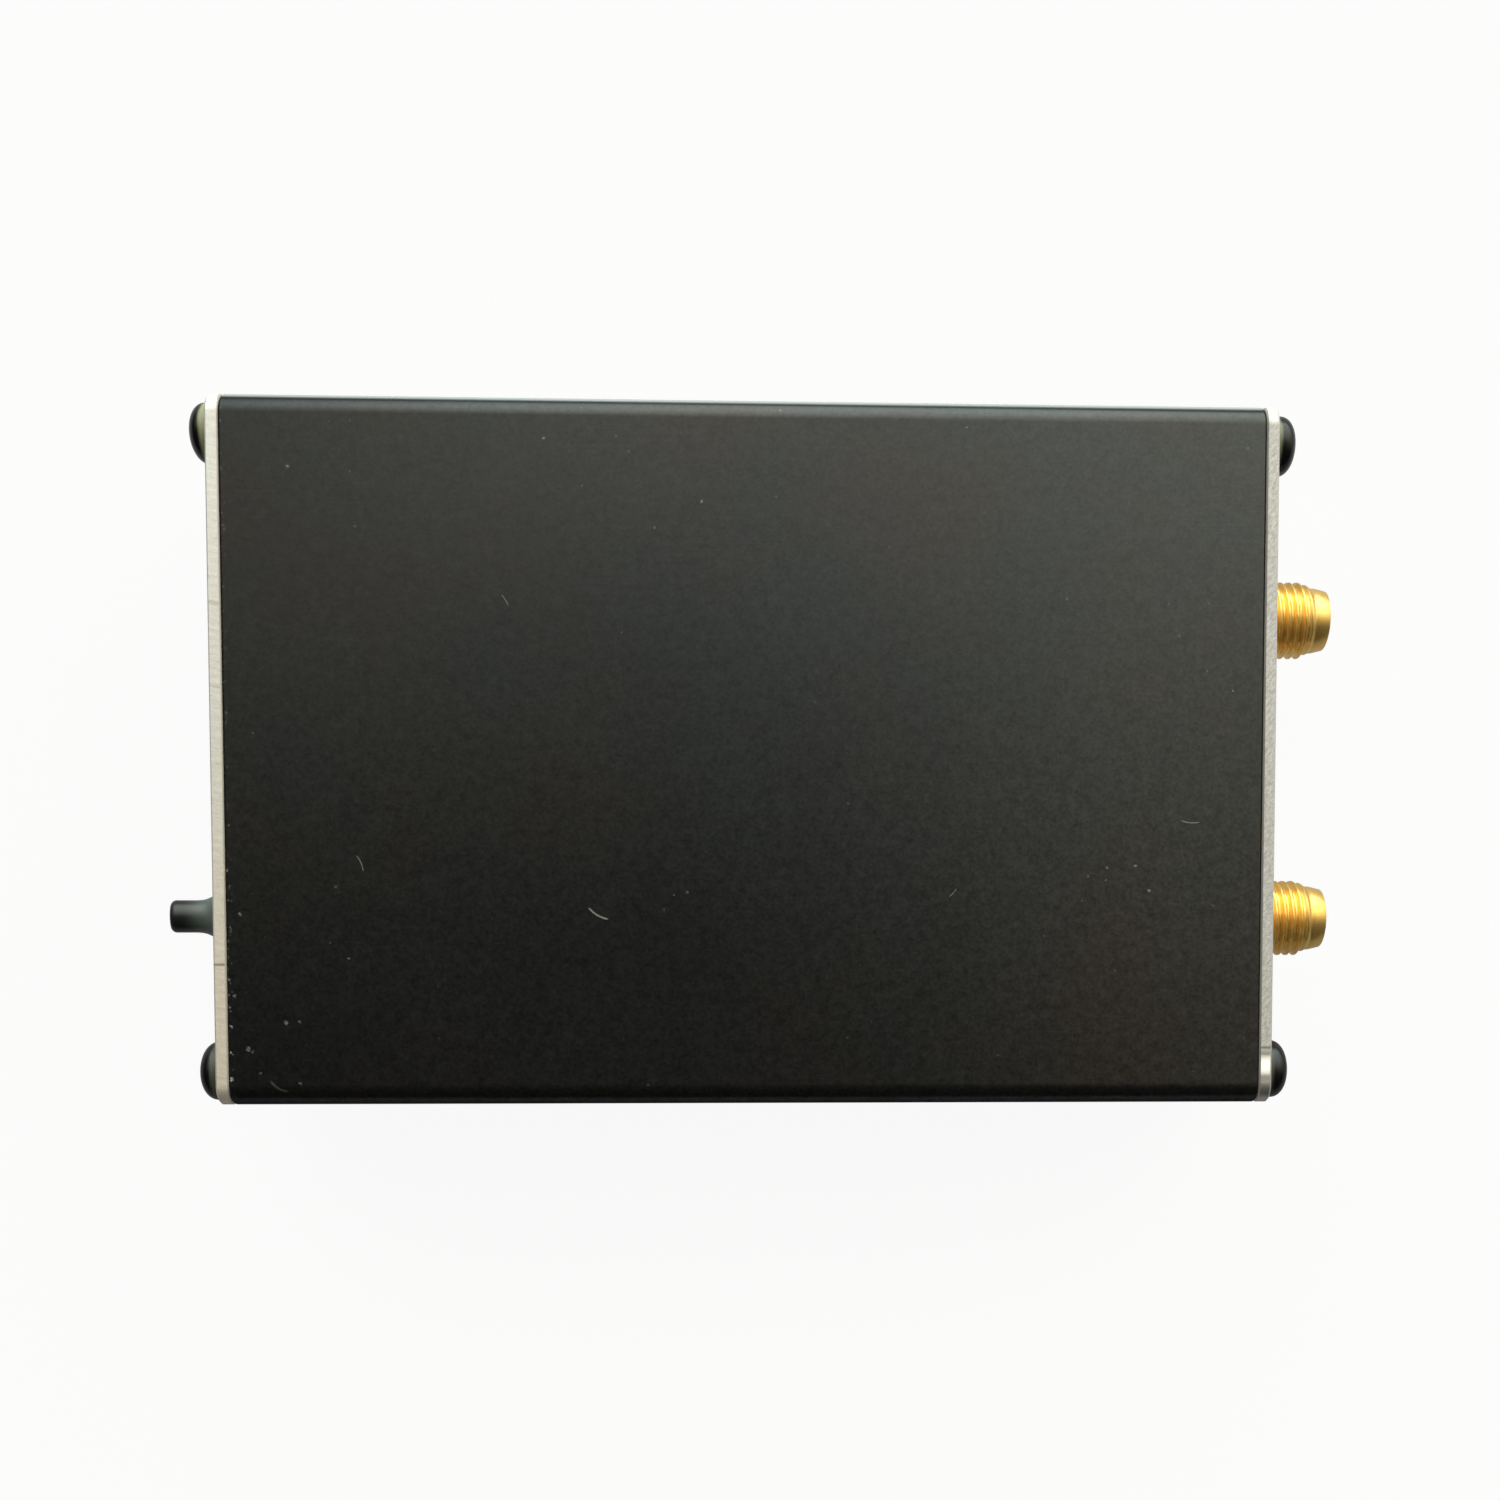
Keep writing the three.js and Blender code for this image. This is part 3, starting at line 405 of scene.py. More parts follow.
def box_mesh(name, low, high, edge=0.0):
    """A box between two corners, with its edges cut back."""
    bm = bmesh.new()
    bmesh.ops.create_cube(bm, size=1)
    low, high = Vector(low), Vector(high)
    middle, size = (low + high) / 2, high - low
    bmesh.ops.transform(bm, matrix=Matrix.Translation(middle) @ Matrix.Diagonal((*size, 1)), verts=bm.verts)
    if edge:
        bmesh.ops.bevel(bm, geom=bm.edges, offset=edge, segments=2, affect="EDGES", profile=0.5)
    return settled(bpy.data.meshes.new(name), bm)


def combined(mesh, others, operation="DIFFERENCE"):
    """A mesh with others cut from it, or joined to it, by exact booleans."""
    holder = added(mesh.name, mesh)
    tools = [added(other.name, other) for other in others]
    for tool in tools:
        cut = holder.modifiers.new("cut", "BOOLEAN")
        cut.operation = operation
        cut.solver = "EXACT"
        cut.object = tool
    made = bpy.data.meshes.new_from_object(holder.evaluated_get(bpy.context.evaluated_depsgraph_get()))
    made.name = mesh.name
    for item in (holder, *tools):
        bpy.data.objects.remove(item)
    return made


def piece(node, mesh, slot, matrix=None, finish=None, body="case"):
    """Makes a mesh in millimetres, set in its place, the piece in metres that replaces a frame node.

    Its finish has the slot's name, unless another is named.
    """
    if matrix is not None:
        mesh.transform(matrix)
    mesh.transform(Matrix.Scale(MM, 4))
    mesh.polygons.foreach_set("use_smooth", np.ones(len(mesh.polygons), bool))
    mesh.set_sharp_from_angle(angle=math.radians(CREASE))
    mesh.materials.clear()
    mesh.materials.append(FINISH[finish or slot])
    made = added(f"{node}_fine", mesh)
    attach(made, body)
    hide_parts(node)


# Camera

def place_camera():
    """The camera at the photograph's place, shifted as far as its framing needs."""
    data = bpy.data.cameras.new("photo_camera")
    data.sensor_width = SENSOR
    data.lens = SENSOR * FOCAL_PIXELS / PHOTO_SIDE
    data.shift_x = (PHOTO_SIDE / 2 - CENTRE_PIXELS[0]) / PHOTO_SIDE
    data.shift_y = (CENTRE_PIXELS[1] - PHOTO_SIDE / 2) / PHOTO_SIDE
    data.clip_start, data.clip_end = CLIP
    back = -CAMERA_VIEW.normalized()
    right = CAMERA_UP.cross(back).normalized()
    up = back.cross(right)
    camera = added("photo_camera", data)
    camera.matrix_world = Matrix.Translation(CAMERA_PLACE) @ Matrix((right, up, back)).transposed().to_4x4()
    bpy.context.scene.camera = camera


# Node trees

class Value:
    """An output of a node. Sums, differences and products of such values and plain numbers are values too."""

    def __init__(self, tree, socket):
        self.tree, self.socket = tree, socket

    def __getitem__(self, key):
        """Another output of the same node."""
        return Value(self.tree, self.socket.node.outputs[key])

    def __add__(self, other):
        return self.tree.math("ADD", self, other)

    def __sub__(self, other):
        return self.tree.math("SUBTRACT", self, other)

    def __rsub__(self, other):
        return self.tree.math("SUBTRACT", other, self)

    def __mul__(self, other):
        return self.tree.math("MULTIPLY", self, other)

    def __abs__(self):
        return self.tree.math("ABSOLUTE", self)

    __radd__, __rmul__ = __add__, __mul__

    def between(self, low, high, out_low=0.0, out_high=1.0):
        """The value taken smoothly from the range low..high to another range, and held inside it."""
        inputs = {"Value": self, "From Min": low, "From Max": high, "To Min": out_low, "To Max": out_high}
        return self.tree.add("ShaderNodeMapRange", inputs, interpolation_type="SMOOTHSTEP")


class Tree:
    """A node tree, with short calls that add a node, fill its inputs and give back its output."""

    def __init__(self, tree):
        self.nodes, self.links = tree.nodes, tree.links

    def add(self, kind, inputs=(), **settings):
        """Adds a node; each input is a number, a colour, a vector or a value. Gives its first output."""
        node = self.nodes.new(kind)
        for key, setting in settings.items():
            setattr(node, key, setting)
        for key, value in dict(inputs).items():
            self.fill(node.inputs[key], value)
        return Value(self, node.outputs[0]) if node.outputs else None

    def fill(self, socket, value):
        """Links a value to a socket, or sets the socket's own."""
        if isinstance(value, Value):
            self.links.new(value.socket, socket)
        else:
            socket.default_value = (*value, 1) if socket.type == "RGBA" else value

    def math(self, operation, *values, clamp=False):
        """A number worked out from one or two numbers."""
        return self.add("ShaderNodeMath", enumerate(values), operation=operation, use_clamp=clamp)

    def most(self, first, *others):
        """The greatest of some numbers."""
        for other in others:
            first = self.math("MAXIMUM", first, other)
        return first

    def vector(self, operation, *values):
        """A vector, or for a dot product or a distance a number, worked out from vectors."""
        made = self.add("ShaderNodeVectorMath", enumerate(values), operation=operation)
        return made["Value"] if operation in ("DOT_PRODUCT", "DISTANCE") else made

    def scaled(self, vector, amount):
        """A vector or a colour times a number."""
        return self.add("ShaderNodeVectorMath", {0: vector, "Scale": amount}, operation="SCALE")

    def parts(self, vector):
        """The X of a vector, with its Y and Z as other outputs."""
        return self.add("ShaderNodeSeparateXYZ", {"Vector": vector})

    def normal_parts(self):
        """The X of the surface's normal, with its Y and Z as other outputs."""
        return self.parts(self.add("ShaderNodeNewGeometry")["Normal"])

    def mix(self, share, first, second):
        """A colour that goes from first to second."""
        return self.add("ShaderNodeMix", {0: share, 6: first, 7: second}, data_type="RGBA")[2]

    def blend(self, share, first, second):
        """A number that goes from first to second."""
        return self.add("ShaderNodeMix", {0: share, 2: first, 3: second}, data_type="FLOAT")

    def noise(self, place, scale, detail=2.0, roughness=0.5):
        """Soft noise round a half, in three dimensions."""
        inputs = {"Vector": place, "Scale": scale, "Detail": detail, "Roughness": roughness}
        return self.add("ShaderNodeTexNoise", inputs)

    def strayed(self, place, scale, reach):
        """A place moved by a wandering offset: noise in each direction, less a half, times the reach."""
        wander = self.vector("SUBTRACT", self.noise(place, scale)["Color"], (0.5, 0.5, 0.5))
        return self.vector("ADD", place, self.scaled(wander, reach))


def shared(*outputs, **inputs):
    """Turns a function of a tree and some input values into a node group, which materials then share."""
    def build(work):
        group = bpy.data.node_groups.new(work.__name__, "ShaderNodeTree")
        for label, default in inputs.items():
            kind = "NodeSocketVector" if isinstance(default, tuple) else "NodeSocketFloat"
            socket = group.interface.new_socket(name=label, in_out="INPUT", socket_type=kind)
            socket.default_value = default
        for label in outputs:
            group.interface.new_socket(name=label, in_out="OUTPUT", socket_type="NodeSocketFloat")
        tree = Tree(group)
        source = tree.add("NodeGroupInput")
        results = work(tree, *[source[label] for label in inputs])
        tree.add("NodeGroupOutput", zip(outputs, results))
        return group
    return build


@shared("Lines", Place=(0, 0, 0), Stretch=(1, 1, 1), Detail=3.0)
def brushed_lines(tree, place, stretch, detail):
    """Fine lines: noise on a place that is stretched by its own amount in each direction, per metre."""
    return [tree.noise(tree.vector("MULTIPLY", place, stretch), 1.0, detail, 0.62)]


@shared("Specks", Place=(0, 0, 0), Spacing=1.0, Size=0.12, Share=0.3)
def dust_specks(tree, place, spacing, size, share):
    """Specks round a share of scattered points, each with its own size and a ragged outline."""
    ragged = tree.strayed(place, 9000, 0.00016)
    scaled = tree.scaled(ragged, tree.math("DIVIDE", 1 / MM, spacing))
    cells = tree.add("ShaderNodeTexVoronoi", {"Vector": scaled, "Scale": 1.0})
    drawn = tree.add("ShaderNodeSeparateColor", {"Color": cells["Color"]})
    radius = size * (0.35 + drawn[0])
    near = cells["Distance"].between(radius, radius * 0.35)
    return [near * tree.math("LESS_THAN", drawn[1], share) * (0.35 + drawn[2] * 0.65)]


@shared("Fibre", Place=(0, 0, 0), Centre=(0, 0, 0), Radius=0.001, Middle=(0, 0, 0), Reach=0.001,
        Width=0.0001)
def lint_fibre(tree, place, centre, radius, middle, reach, width):
    """One short fibre: what lies within its width of a circle, and within its reach of a middle."""
    across = abs(tree.vector("DISTANCE", place, centre) - radius).between(width, width * 0.3)
    return [across * tree.vector("DISTANCE", place, middle).between(reach, reach * 0.75)]


@shared("Wear", Place=(0, 0, 0), Radius=0.0002, Grain=2500.0, Amount=1.0)
def worn_edges(tree, place, radius, grain, amount):
    """Edge wear: where the rounded normal differs from the face's own, broken up by noise."""
    rounded = tree.add("ShaderNodeBevel", {"Radius": radius}, samples=6)
    own = tree.add("ShaderNodeNewGeometry")["Normal"]
    edge = (1.0 - tree.vector("DOT_PRODUCT", rounded, own)).between(0.015, 0.16)
    broken = tree.noise(place, grain, 4.0, 0.65).between(0.36, 0.66)
    return [tree.math("MULTIPLY", edge * broken, amount, clamp=True)]


@shared("Height", Place=(0, 0, 0), Size=0.08)
def fine_grain(tree, place, size):
    """The fine even grain of a moulded or blasted surface, as a height."""
    return [tree.noise(place, tree.math("DIVIDE", 1 / MM, size), 3.0, 0.6)]


@shared("Shade", "Gloss", Place=(0, 0, 0), Size=12.0)
def handled_film(tree, place, size):
    """Large soft patches, as handling leaves them: one number for shade, one for gloss."""
    scale = tree.math("DIVIDE", 1 / MM, size)
    moved = tree.vector("ADD", place, (0.31, 0.17, 0.05))
    return [tree.noise(place, scale, 3.0, 0.55), tree.noise(moved, scale, 5.0, 0.6)]


def emptied(owner):
    """The node tree of a new material or world, with nothing in it."""
    owner.use_nodes = True
    owner.node_tree.nodes.clear()
    return owner.node_tree


class Finish(Tree):
    """A material's tree, with its place on the piece, its shader, and the shared effects as short calls."""

    def __init__(self, name):
        self.material = bpy.data.materials.new(name)
        super().__init__(emptied(self.material))
        self.place = self.add("ShaderNodeTexCoord")["Object"]
        shader = self.add("ShaderNodeBsdfPrincipled")
        self.shader = shader.socket.node.inputs
        self.add("ShaderNodeOutputMaterial", {"Surface": shader})

    def use(self, group, **inputs):
        """A shared effect on this material's place, with its own values."""
        return self.add("ShaderNodeGroup", {"Place": self.place, **inputs}, node_tree=group)

    def lines(self, stretch, detail, **place):
        return self.use(brushed_lines, Stretch=stretch, Detail=detail, **place)

    def specks(self, spacing, size, share):
        return self.use(dust_specks, Spacing=spacing, Size=size, Share=share)

    def wear(self, radius, grain, amount):
        return self.use(worn_edges, Radius=radius, Grain=grain, Amount=amount)

    def grain(self, size):
        return self.use(fine_grain, Size=size)

    def film(self, size):
        return self.use(handled_film, Size=size)

    def patched(self, film, first, second, reach=0.2):
        """Two near tones, in the film's patches: smooth over the reach to either side of a half."""
        return self.mix(film.between(0.5 - reach, 0.5 + reach), first, second)

    def dressed(self, colour, metallic, roughness, height, strength, distance):
        """The material, its shader filled, with a normal tipped by a height in metres times the distance."""
        bump = self.add("ShaderNodeBump", {"Height": height, "Strength": strength, "Distance": distance})
        for label, value in (
            ("Base Color", colour), ("Metallic", metallic), ("Roughness", roughness), ("Normal", bump)
        ):
            self.fill(self.shader[label], value)
        return self.material


# Fibres that lie on the case: circle centre, radius, middle, half length and width in millimetres, and how
# pale each one is
CASE_FIBRES = (
    ((-10.4, -10.2), 2.63, (-11.7, -12.4), 0.95, 0.10, 0.5),
    ((-31.7, -9.3), 2.1, (-29.8, -8.5), 0.7, 0.05, 0.45),
    ((34.6, -2.9), 2.3, (34.4, -5.2), 0.8, 0.05, 0.45),
    ((14.0, -9.0), 2.5, (15.8, -10.7), 0.45, 0.04, 0.4),
    ((-22.0, 9.5), 4.0, (-18.6, 11.6), 0.5, 0.04, 0.4),
    ((-35.4, -24.4), 1.7, (-36.3, -25.8), 0.85, 0.12, 0.2),
)
# Specks of dust on the case: place and radius, in millimetres
CASE_SPECKS = (
    (-31.7, -10.3, 0.16), (-31.5, -10.8, 0.1), (-32.2, -14.6, 0.12), (-30.8, -15.8, 0.13),
    (-39.0, -12.4, 0.2), (-38.1, -10.9, 0.1), (-37.6, -24.7, 0.15), (-34.6, -25.5, 0.18), (-6.6, -12.0, 0.13),
    (-5.8, -10.9, 0.11), (-4.8, -10.7, 0.14), (32.5, 11.7, 0.1), (33.4, 9.3, 0.1), (37.6, 5.1, 0.13),
    (35.6, 6.6, 0.1), (27.9, -8.7, 0.15), (30.1, -8.6, 0.16), (26.4, -9.4, 0.14), (27.8, -9.7, 0.13),
    (31.2, -10.5, 0.17), (28.6, -16.7, 0.11), (-15.6, 23.8, 0.15), (-10.1, 24.0, 0.1), (-9.1, 22.9, 0.1),
    (-12.7, 20.3, 0.12), (-3.6, 19.2, 0.16), (-7.2, 17.2, 0.13), (-34.9, 21.5, 0.15), (-35.6, -20.8, 0.2),
    (-34.6, -20.7, 0.16), (-38.5, -22.8, 0.22), (-38.2, -23.0, 0.16), (-39.5, -18.7, 0.18),
)


def on_top(x, y):
    """A place on the case's top face, in metres."""
    return x * MM, y * MM, HEIGHT * MM


def case_dust(tree):
    """A mask of what lies on the case: many faint specks, some placed ones, and a few fibres.

    A placed speck is what lies nearer to its point than its radius, measured from a slightly stray place
    and broken up by noise.
    """
    stray = tree.strayed(tree.place, 5000, 0.00034)
    depth = tree.most(0.0, *[
        radius * MM - tree.vector("DISTANCE", stray, on_top(x, y)) for x, y, radius in CASE_SPECKS
    ])
    broken = tree.noise(tree.place, 8000, 3.0).between(0.34, 0.58, 0.25)
    placed = depth.between(0.0, 0.00012) * broken
    fibres = [
        paleness * tree.use(lint_fibre, Centre=on_top(*centre), Radius=radius * MM, Middle=on_top(*middle),
                            Reach=reach * MM, Width=width * MM)
        for centre, radius, middle, reach, width, paleness in CASE_FIBRES
    ]
    return tree.most(tree.specks(1.3, 0.08, 0.3) * 0.2, placed * 0.5, *fibres)


def anodised_finish():
    """Black anodised extrusion: dark and matt, faintly mottled, brushed along X in places, with dust on it.

    Its ends are nicked where noise passes a threshold within a fraction of a millimetre of the cut, most of
    all near one corner. The mottling grows towards -Y, and the rounded edge at +Y carries a painted sheen: a
    pale matt band, standing for the light that edge catches, where its normal has tipped far enough. Its tint
    for mirroring at a low angle is dark, so that it has no glare.
    """
    tree = Finish("black_anodised")
    lines, film = tree.lines((110, 7000, 7000), 4.0), tree.film(16.0)
    fine, coarse = tree.grain(0.26), tree.grain(0.8)
    along, aside = tree.parts(tree.place), tree.parts(tree.place)["Y"]
    brushed = tree.lines((70, 240, 240), 2.0).between(0.46, 0.66) * 0.34
    mottle = fine * 0.72 + coarse * 0.44 - 0.58
    shade = 1.0 + mottle * aside.between(20 * MM, -18 * MM, 0.7, 1.9) + brushed * (lines - 0.5)
    lit = tree.scaled(tree.patched(film, (0.0585, 0.063, 0.0645), (0.0625, 0.0615, 0.062), 0.15), shade)
    worn = tree.mix(tree.wear(0.00012, 3000.0, 0.25), lit, (0.30, 0.30, 0.29))
    end = along.between((NICK_REACH - CASE_END) * MM, (NICK_REACH / 4 - CASE_END) * MM)
    nicks = end * aside.between(2 * MM, -14 * MM, 0.3, 1.0)
    nicks *= tree.noise(tree.place, 2600, 4.0, 0.6).between(0.58, 0.66)
    flecks = tree.noise(tree.place, 2300, 4.0, 0.6).between(0.6, 0.74)
    flecks *= aside.between(12 * MM, -22 * MM, 0.01, 0.03)
    dust = tree.most(case_dust(tree), nicks * 0.8, flecks)
    leans = tree.normal_parts()
    # Painted sheen: a pale matt band on the rounded edge at +Y, standing for the light that edge catches.
    painted_sheen = leans["Y"].between(0.64, 0.84) * leans["Z"].between(0.26, 0.36) * 0.8
    colour = tree.mix(dust, tree.mix(painted_sheen, worn, (0.60, 0.68, 0.69)), (0.46, 0.47, 0.44))
    metallic = tree.blend(tree.most(dust, painted_sheen), 0.9, 0.0)
    roughness = tree.blend(dust, 0.24 + film["Gloss"] * 0.08, 0.85)
    tree.shader["Specular Tint"].default_value = (0.3, 0.31, 0.32, 1)
    return tree.dressed(colour, metallic, roughness, lines * brushed + fine * 0.5 + dust * 2.0, 0.3, 0.00001)


def aluminium_finish(name, edge_tone, edge_metal, slant, contrast, burred, painted_shade_tint_share, mark_and_shade_line, mark_and_shade_tone):
    """Bare aluminium plate: brushed faces across X, and paler sawn edges with marks at a slant.

    The edges' marks are noise on a place measured along the slant, with a few darker lines among them. The
    rounded corners are painted paler, a painted highlight. A brown band of painted shade runs along the edge
    that meets the shells, and a darker line crosses it at one place: painted shade where the filed corner
    begins on the front plate, a brown mark on the rear. A burred plate has its corner at -Y filed bright, where
    a height that rises over the burr's width tips the normal back. With painted shade tint, a plate turns
    browner towards -Y, the side away from the light.
    """
    tree = Finish(name)
    face = abs(tree.normal_parts()).between(0.5, 0.9)
    brushed = tree.lines((800, 90, 9000), 4.0)
    along = tree.vector("DOT_PRODUCT", tree.place, (slant, 1.0, 0.0))
    up = tree.vector("DOT_PRODUCT", tree.place, (slant, 0.0, 1.0))
    slanted = tree.add("ShaderNodeCombineXYZ", {"X": along, "Y": up})
    sawn = tree.lines((3200, 3200, 0), 3.0, Place=slanted)
    cuts = tree.lines((1100, 1100, 0), 1.0, Place=slanted)
    grain = tree.grain(0.12)
    inside, aside = abs(tree.parts(tree.place)), tree.parts(tree.place)["Y"]
    seam_shade = inside.between((PANEL_INNER + SEAM_REACH) * MM, (PANEL_INNER + SEAM_REACH / 3) * MM)
    turn = HALF_WIDTH - EDGE_RADIUS
    corner = abs(aside).between((turn - 0.1) * MM, (turn + 0.3) * MM)
    marks = contrast * (sawn * 1.5 + grain)
    edge = tree.scaled(edge_tone, 1.0 - 1.25 * contrast + marks)
    edge = tree.mix(cuts.between(0.66, 0.78) * 0.45, edge, (0.42, 0.33, 0.24))
    # Painted highlight: the rounded corners' edges are made paler.
    edge = tree.mix(corner * 0.6, edge, (0.9, 0.89, 0.86))
    # Painted shade: the edges turn browner towards -Y, the side away from the light.
    painted_shade_tint = aside.between(10 * MM, -26 * MM) * painted_shade_tint_share
    edge = tree.vector("MULTIPLY", edge, tree.mix(painted_shade_tint, (1.0, 1.0, 1.0), (1.06, 0.98, 0.88)))
    burr_edge = BURR_START - BURR_LEAD
    filed = aside.between(BURR_START * MM, burr_edge * MM) * burred
    edge = tree.mix(filed, edge, (0.70, 0.69, 0.66))
    # A darker line across the edge: painted shade where the filed corner begins on the front plate, a brown mark
    # on the rear.
    edge = tree.mix(abs(aside - mark_and_shade_line * MM).between(0.14 * MM, 0.05 * MM, 0.0, 0.7), edge, mark_and_shade_tone)
    # Painted shade: a brown band along the inner edge, where the plate meets the shells.
    edge = tree.mix(seam_shade * 0.9, edge, (0.30, 0.22, 0.10))
    colour = tree.mix(face, edge, tree.scaled((0.80, 0.80, 0.79), 0.90 + brushed * 0.2))
    colour = tree.mix(tree.specks(0.8, 0.1, 0.14) * 0.4, colour, (0.22, 0.18, 0.13))
    colour = tree.mix(tree.wear(0.0001, 4000.0, 0.5) * 0.4, colour, (0.9, 0.89, 0.87))
    metallic = tree.blend(face, tree.blend(filed, edge_metal, 0.9) * (1.0 - seam_shade), 0.85)
    roughness = tree.blend(face, tree.blend(filed, 0.48, 0.4), 0.36 + tree.film(5.0)["Gloss"] * 0.14)
    burr = aside.between(burr_edge * MM, (BURR_START - BURR_WIDTH) * MM, 0.0, 42.0 * burred)
    height = tree.blend(face, burr + (sawn + grain), brushed * 0.7 + grain * 0.3)
    return tree.dressed(colour, metallic, roughness, height, 0.5, 0.00002)


def gold_finish():
    """Gold plate over turned brass: clear gloss, fine turning marks, a little tarnish in patches."""
    tree = Finish("gold_plate")
    film = tree.film(2.5)
    colour = tree.patched(film, (1.0, 0.68, 0.21), (0.94, 0.58, 0.15))
    colour = tree.mix(tree.specks(0.7, 0.09, 0.15) * 0.4, colour, (0.45, 0.30, 0.14))
    marks = tree.lines((16000, 300, 300), 3.0)
    return tree.dressed(colour, 0.82, 0.2 + film["Gloss"] * 0.2, marks, 0.3, 0.000008)


def screw_finish():
    """Black zinc on steel: dark and half glossy, olive where it thins at the rim, worn at the recess.

    The rim's olive is partly the zinc's own tone and partly a painted highlight, for the light the rim catches:
    it is strongest on the screws at +Y, towards the light, half as strong on those at +X, and reaches farther
    out from the panel on those at -X.
    """
    tree = Finish("black_screw")
    film = tree.film(1.8)
    along, aside = tree.parts(tree.place), tree.parts(tree.place)["Y"]
    out = abs(along) + along.between(-MM, MM, -0.2 * MM, 0.1 * MM)
    under = PANEL_OUTER + SEAT
    rim = out.between((under + HEAD_RIM) * MM, (under + HEAD_RIM / 2) * MM)
    # Painted highlight: the olive rim is weighted up towards +Y, where the light falls, and down at +X.
    painted_light_weight = aside.between(-5 * MM, 5 * MM, 0.16, 1.0) * along.between(-MM, MM, 1.0, 0.5)
    colour = tree.patched(film, (0.028, 0.033, 0.036), (0.044, 0.044, 0.043))
    colour = tree.mix(rim * painted_light_weight, colour, (0.36, 0.39, 0.22))
    colour = tree.mix(tree.wear(0.00008, 6000.0, 0.7), colour, (0.30, 0.30, 0.29))
    roughness = tree.blend(rim, 0.14 + film["Gloss"] * 0.16, 0.5)
    return tree.dressed(colour, tree.blend(rim, 0.85, 0.0), roughness, tree.grain(0.06), 0.3, 0.00001)


def nickel_finish():
    """Nickel plate or tinned sheet: bright, with faint rolling lines and patches."""
    tree = Finish("nickel_plate")
    film = tree.film(3.0)
    colour = tree.patched(film, (0.74, 0.73, 0.69), (0.64, 0.63, 0.61))
    colour = tree.mix(tree.wear(0.00008, 5000.0, 0.5), colour, (0.86, 0.85, 0.82))
    lines = tree.lines((300, 7000, 7000), 3.0)
    return tree.dressed(colour, 1.0, 0.2 + film["Gloss"] * 0.2, lines, 0.3, 0.000008)


def moulded_finish(name, colours, roughness, grain_size, skirt=False):
    """A moulded plastic or resin: two near tones in patches, fine grain, edges a little polished.

    With skirt, it is paler and greener within a distance of the lever's pivot, where the lever flares out: a
    painted reflection of the light that the flare catches.
    """
    tree = Finish(name)
    film, grain, wear = tree.film(4.0), tree.grain(grain_size), tree.wear(0.0001, 4000.0, 0.5)
    colour = tree.scaled(tree.patched(film, *colours), 0.92 + grain * 0.16)
    if skirt:
        # Painted reflection: the flare near the panel is made paler and greener, for the light it catches.
        away = tree.vector("DISTANCE", tree.place, tuple(PIVOT * MM))
        pale = away.between((PALE_REACH + 1.5) * MM, (PALE_REACH - 0.6) * MM)
        colour = tree.mix(pale, colour, (0.13, 0.16, 0.15))
    polished = tuple(min(1.0, c * 1.4 + 0.01) for c in colours[0])
    roughness = film["Gloss"] * 0.12 + (roughness - 0.06) - wear * 0.1
    return tree.dressed(tree.mix(wear, colour, polished), 0.0, roughness, grain, 0.4, 0.000012)


def laminate_finish():
    """The circuit board: green mask over copper tracks, tinned pads on a grid, bare laminate at the edge.

    A track runs where the two nearest of many scattered points are almost equally near.
    """
    tree = Finish("board_laminate")
    cells = {"Vector": tree.scaled(tree.place, 1 / MM), "Scale": 0.42}
    near, next_near = [
        tree.add("ShaderNodeTexVoronoi", cells, distance="MANHATTAN", feature=feature)["Distance"]
        for feature in ("F1", "F2")
    ]
    tracks, weave = (next_near - near).between(0.16, 0.11), tree.grain(0.3)
    face = abs(tree.normal_parts()["Z"]).between(0.5, 0.8)
    mask = tree.mix(tracks, (0.012, 0.10, 0.05), (0.02, 0.17, 0.075))
    mask = tree.mix(tree.specks(2.2, 0.2, 0.5).between(0.3, 0.5), mask, (0.62, 0.60, 0.50))
    colour = tree.mix(face, tree.mix(weave, (0.42, 0.40, 0.22), (0.55, 0.52, 0.33)), mask)
    return tree.dressed(colour, 0.0, tree.blend(face, 0.8, 0.32), tracks + weave, 0.4, 0.00003)


DARK_MOULD = ((0.010, 0.012, 0.015), (0.015, 0.017, 0.020))
CHIP = ((0.020, 0.020, 0.021), (0.030, 0.029, 0.028))
TANTALUM = ((0.66, 0.36, 0.06), (0.74, 0.44, 0.10))

# Every finish, by the name of its slot in the record, or its own where two finishes share a slot
FINISH = {
    "black_anodised": anodised_finish(),
    "front_aluminium": aluminium_finish(
        "front_aluminium", (0.62, 0.61, 0.59), 0.2, -0.8, 0.8, burred=1.0, painted_shade_tint_share=0.0,
        mark_and_shade_line=BURR_START, mark_and_shade_tone=(0.16, 0.15, 0.12)),
    "rear_aluminium": aluminium_finish(
        "rear_aluminium", (0.90, 0.88, 0.85), 0.5, 0.15, 0.34, burred=0.0, painted_shade_tint_share=1.0,
        mark_and_shade_line=REAR_MARK_LINE, mark_and_shade_tone=(0.30, 0.20, 0.14)),
    "black_screw": screw_finish(),
    "gold_plate": gold_finish(),
    "ptfe": moulded_finish("ptfe", ((0.86, 0.84, 0.79), (0.90, 0.89, 0.86)), 0.45, 0.08),
    "board_laminate": laminate_finish(),
    "nickel_plate": nickel_finish(),
    "black_moulding": moulded_finish("black_moulding", DARK_MOULD, 0.34, 0.07),
    "lever_moulding": moulded_finish("lever_moulding", DARK_MOULD, 0.3, 0.07, skirt=True),
    "chip_resin": moulded_finish("chip_resin", CHIP, 0.55, 0.05),
    "tantalum_resin": moulded_finish("tantalum_resin", TANTALUM, 0.4, 0.1),
    "led_resin": moulded_finish("led_resin", ((0.78, 0.84, 0.62), (0.84, 0.88, 0.72)), 0.22, 0.2),
}


# Case

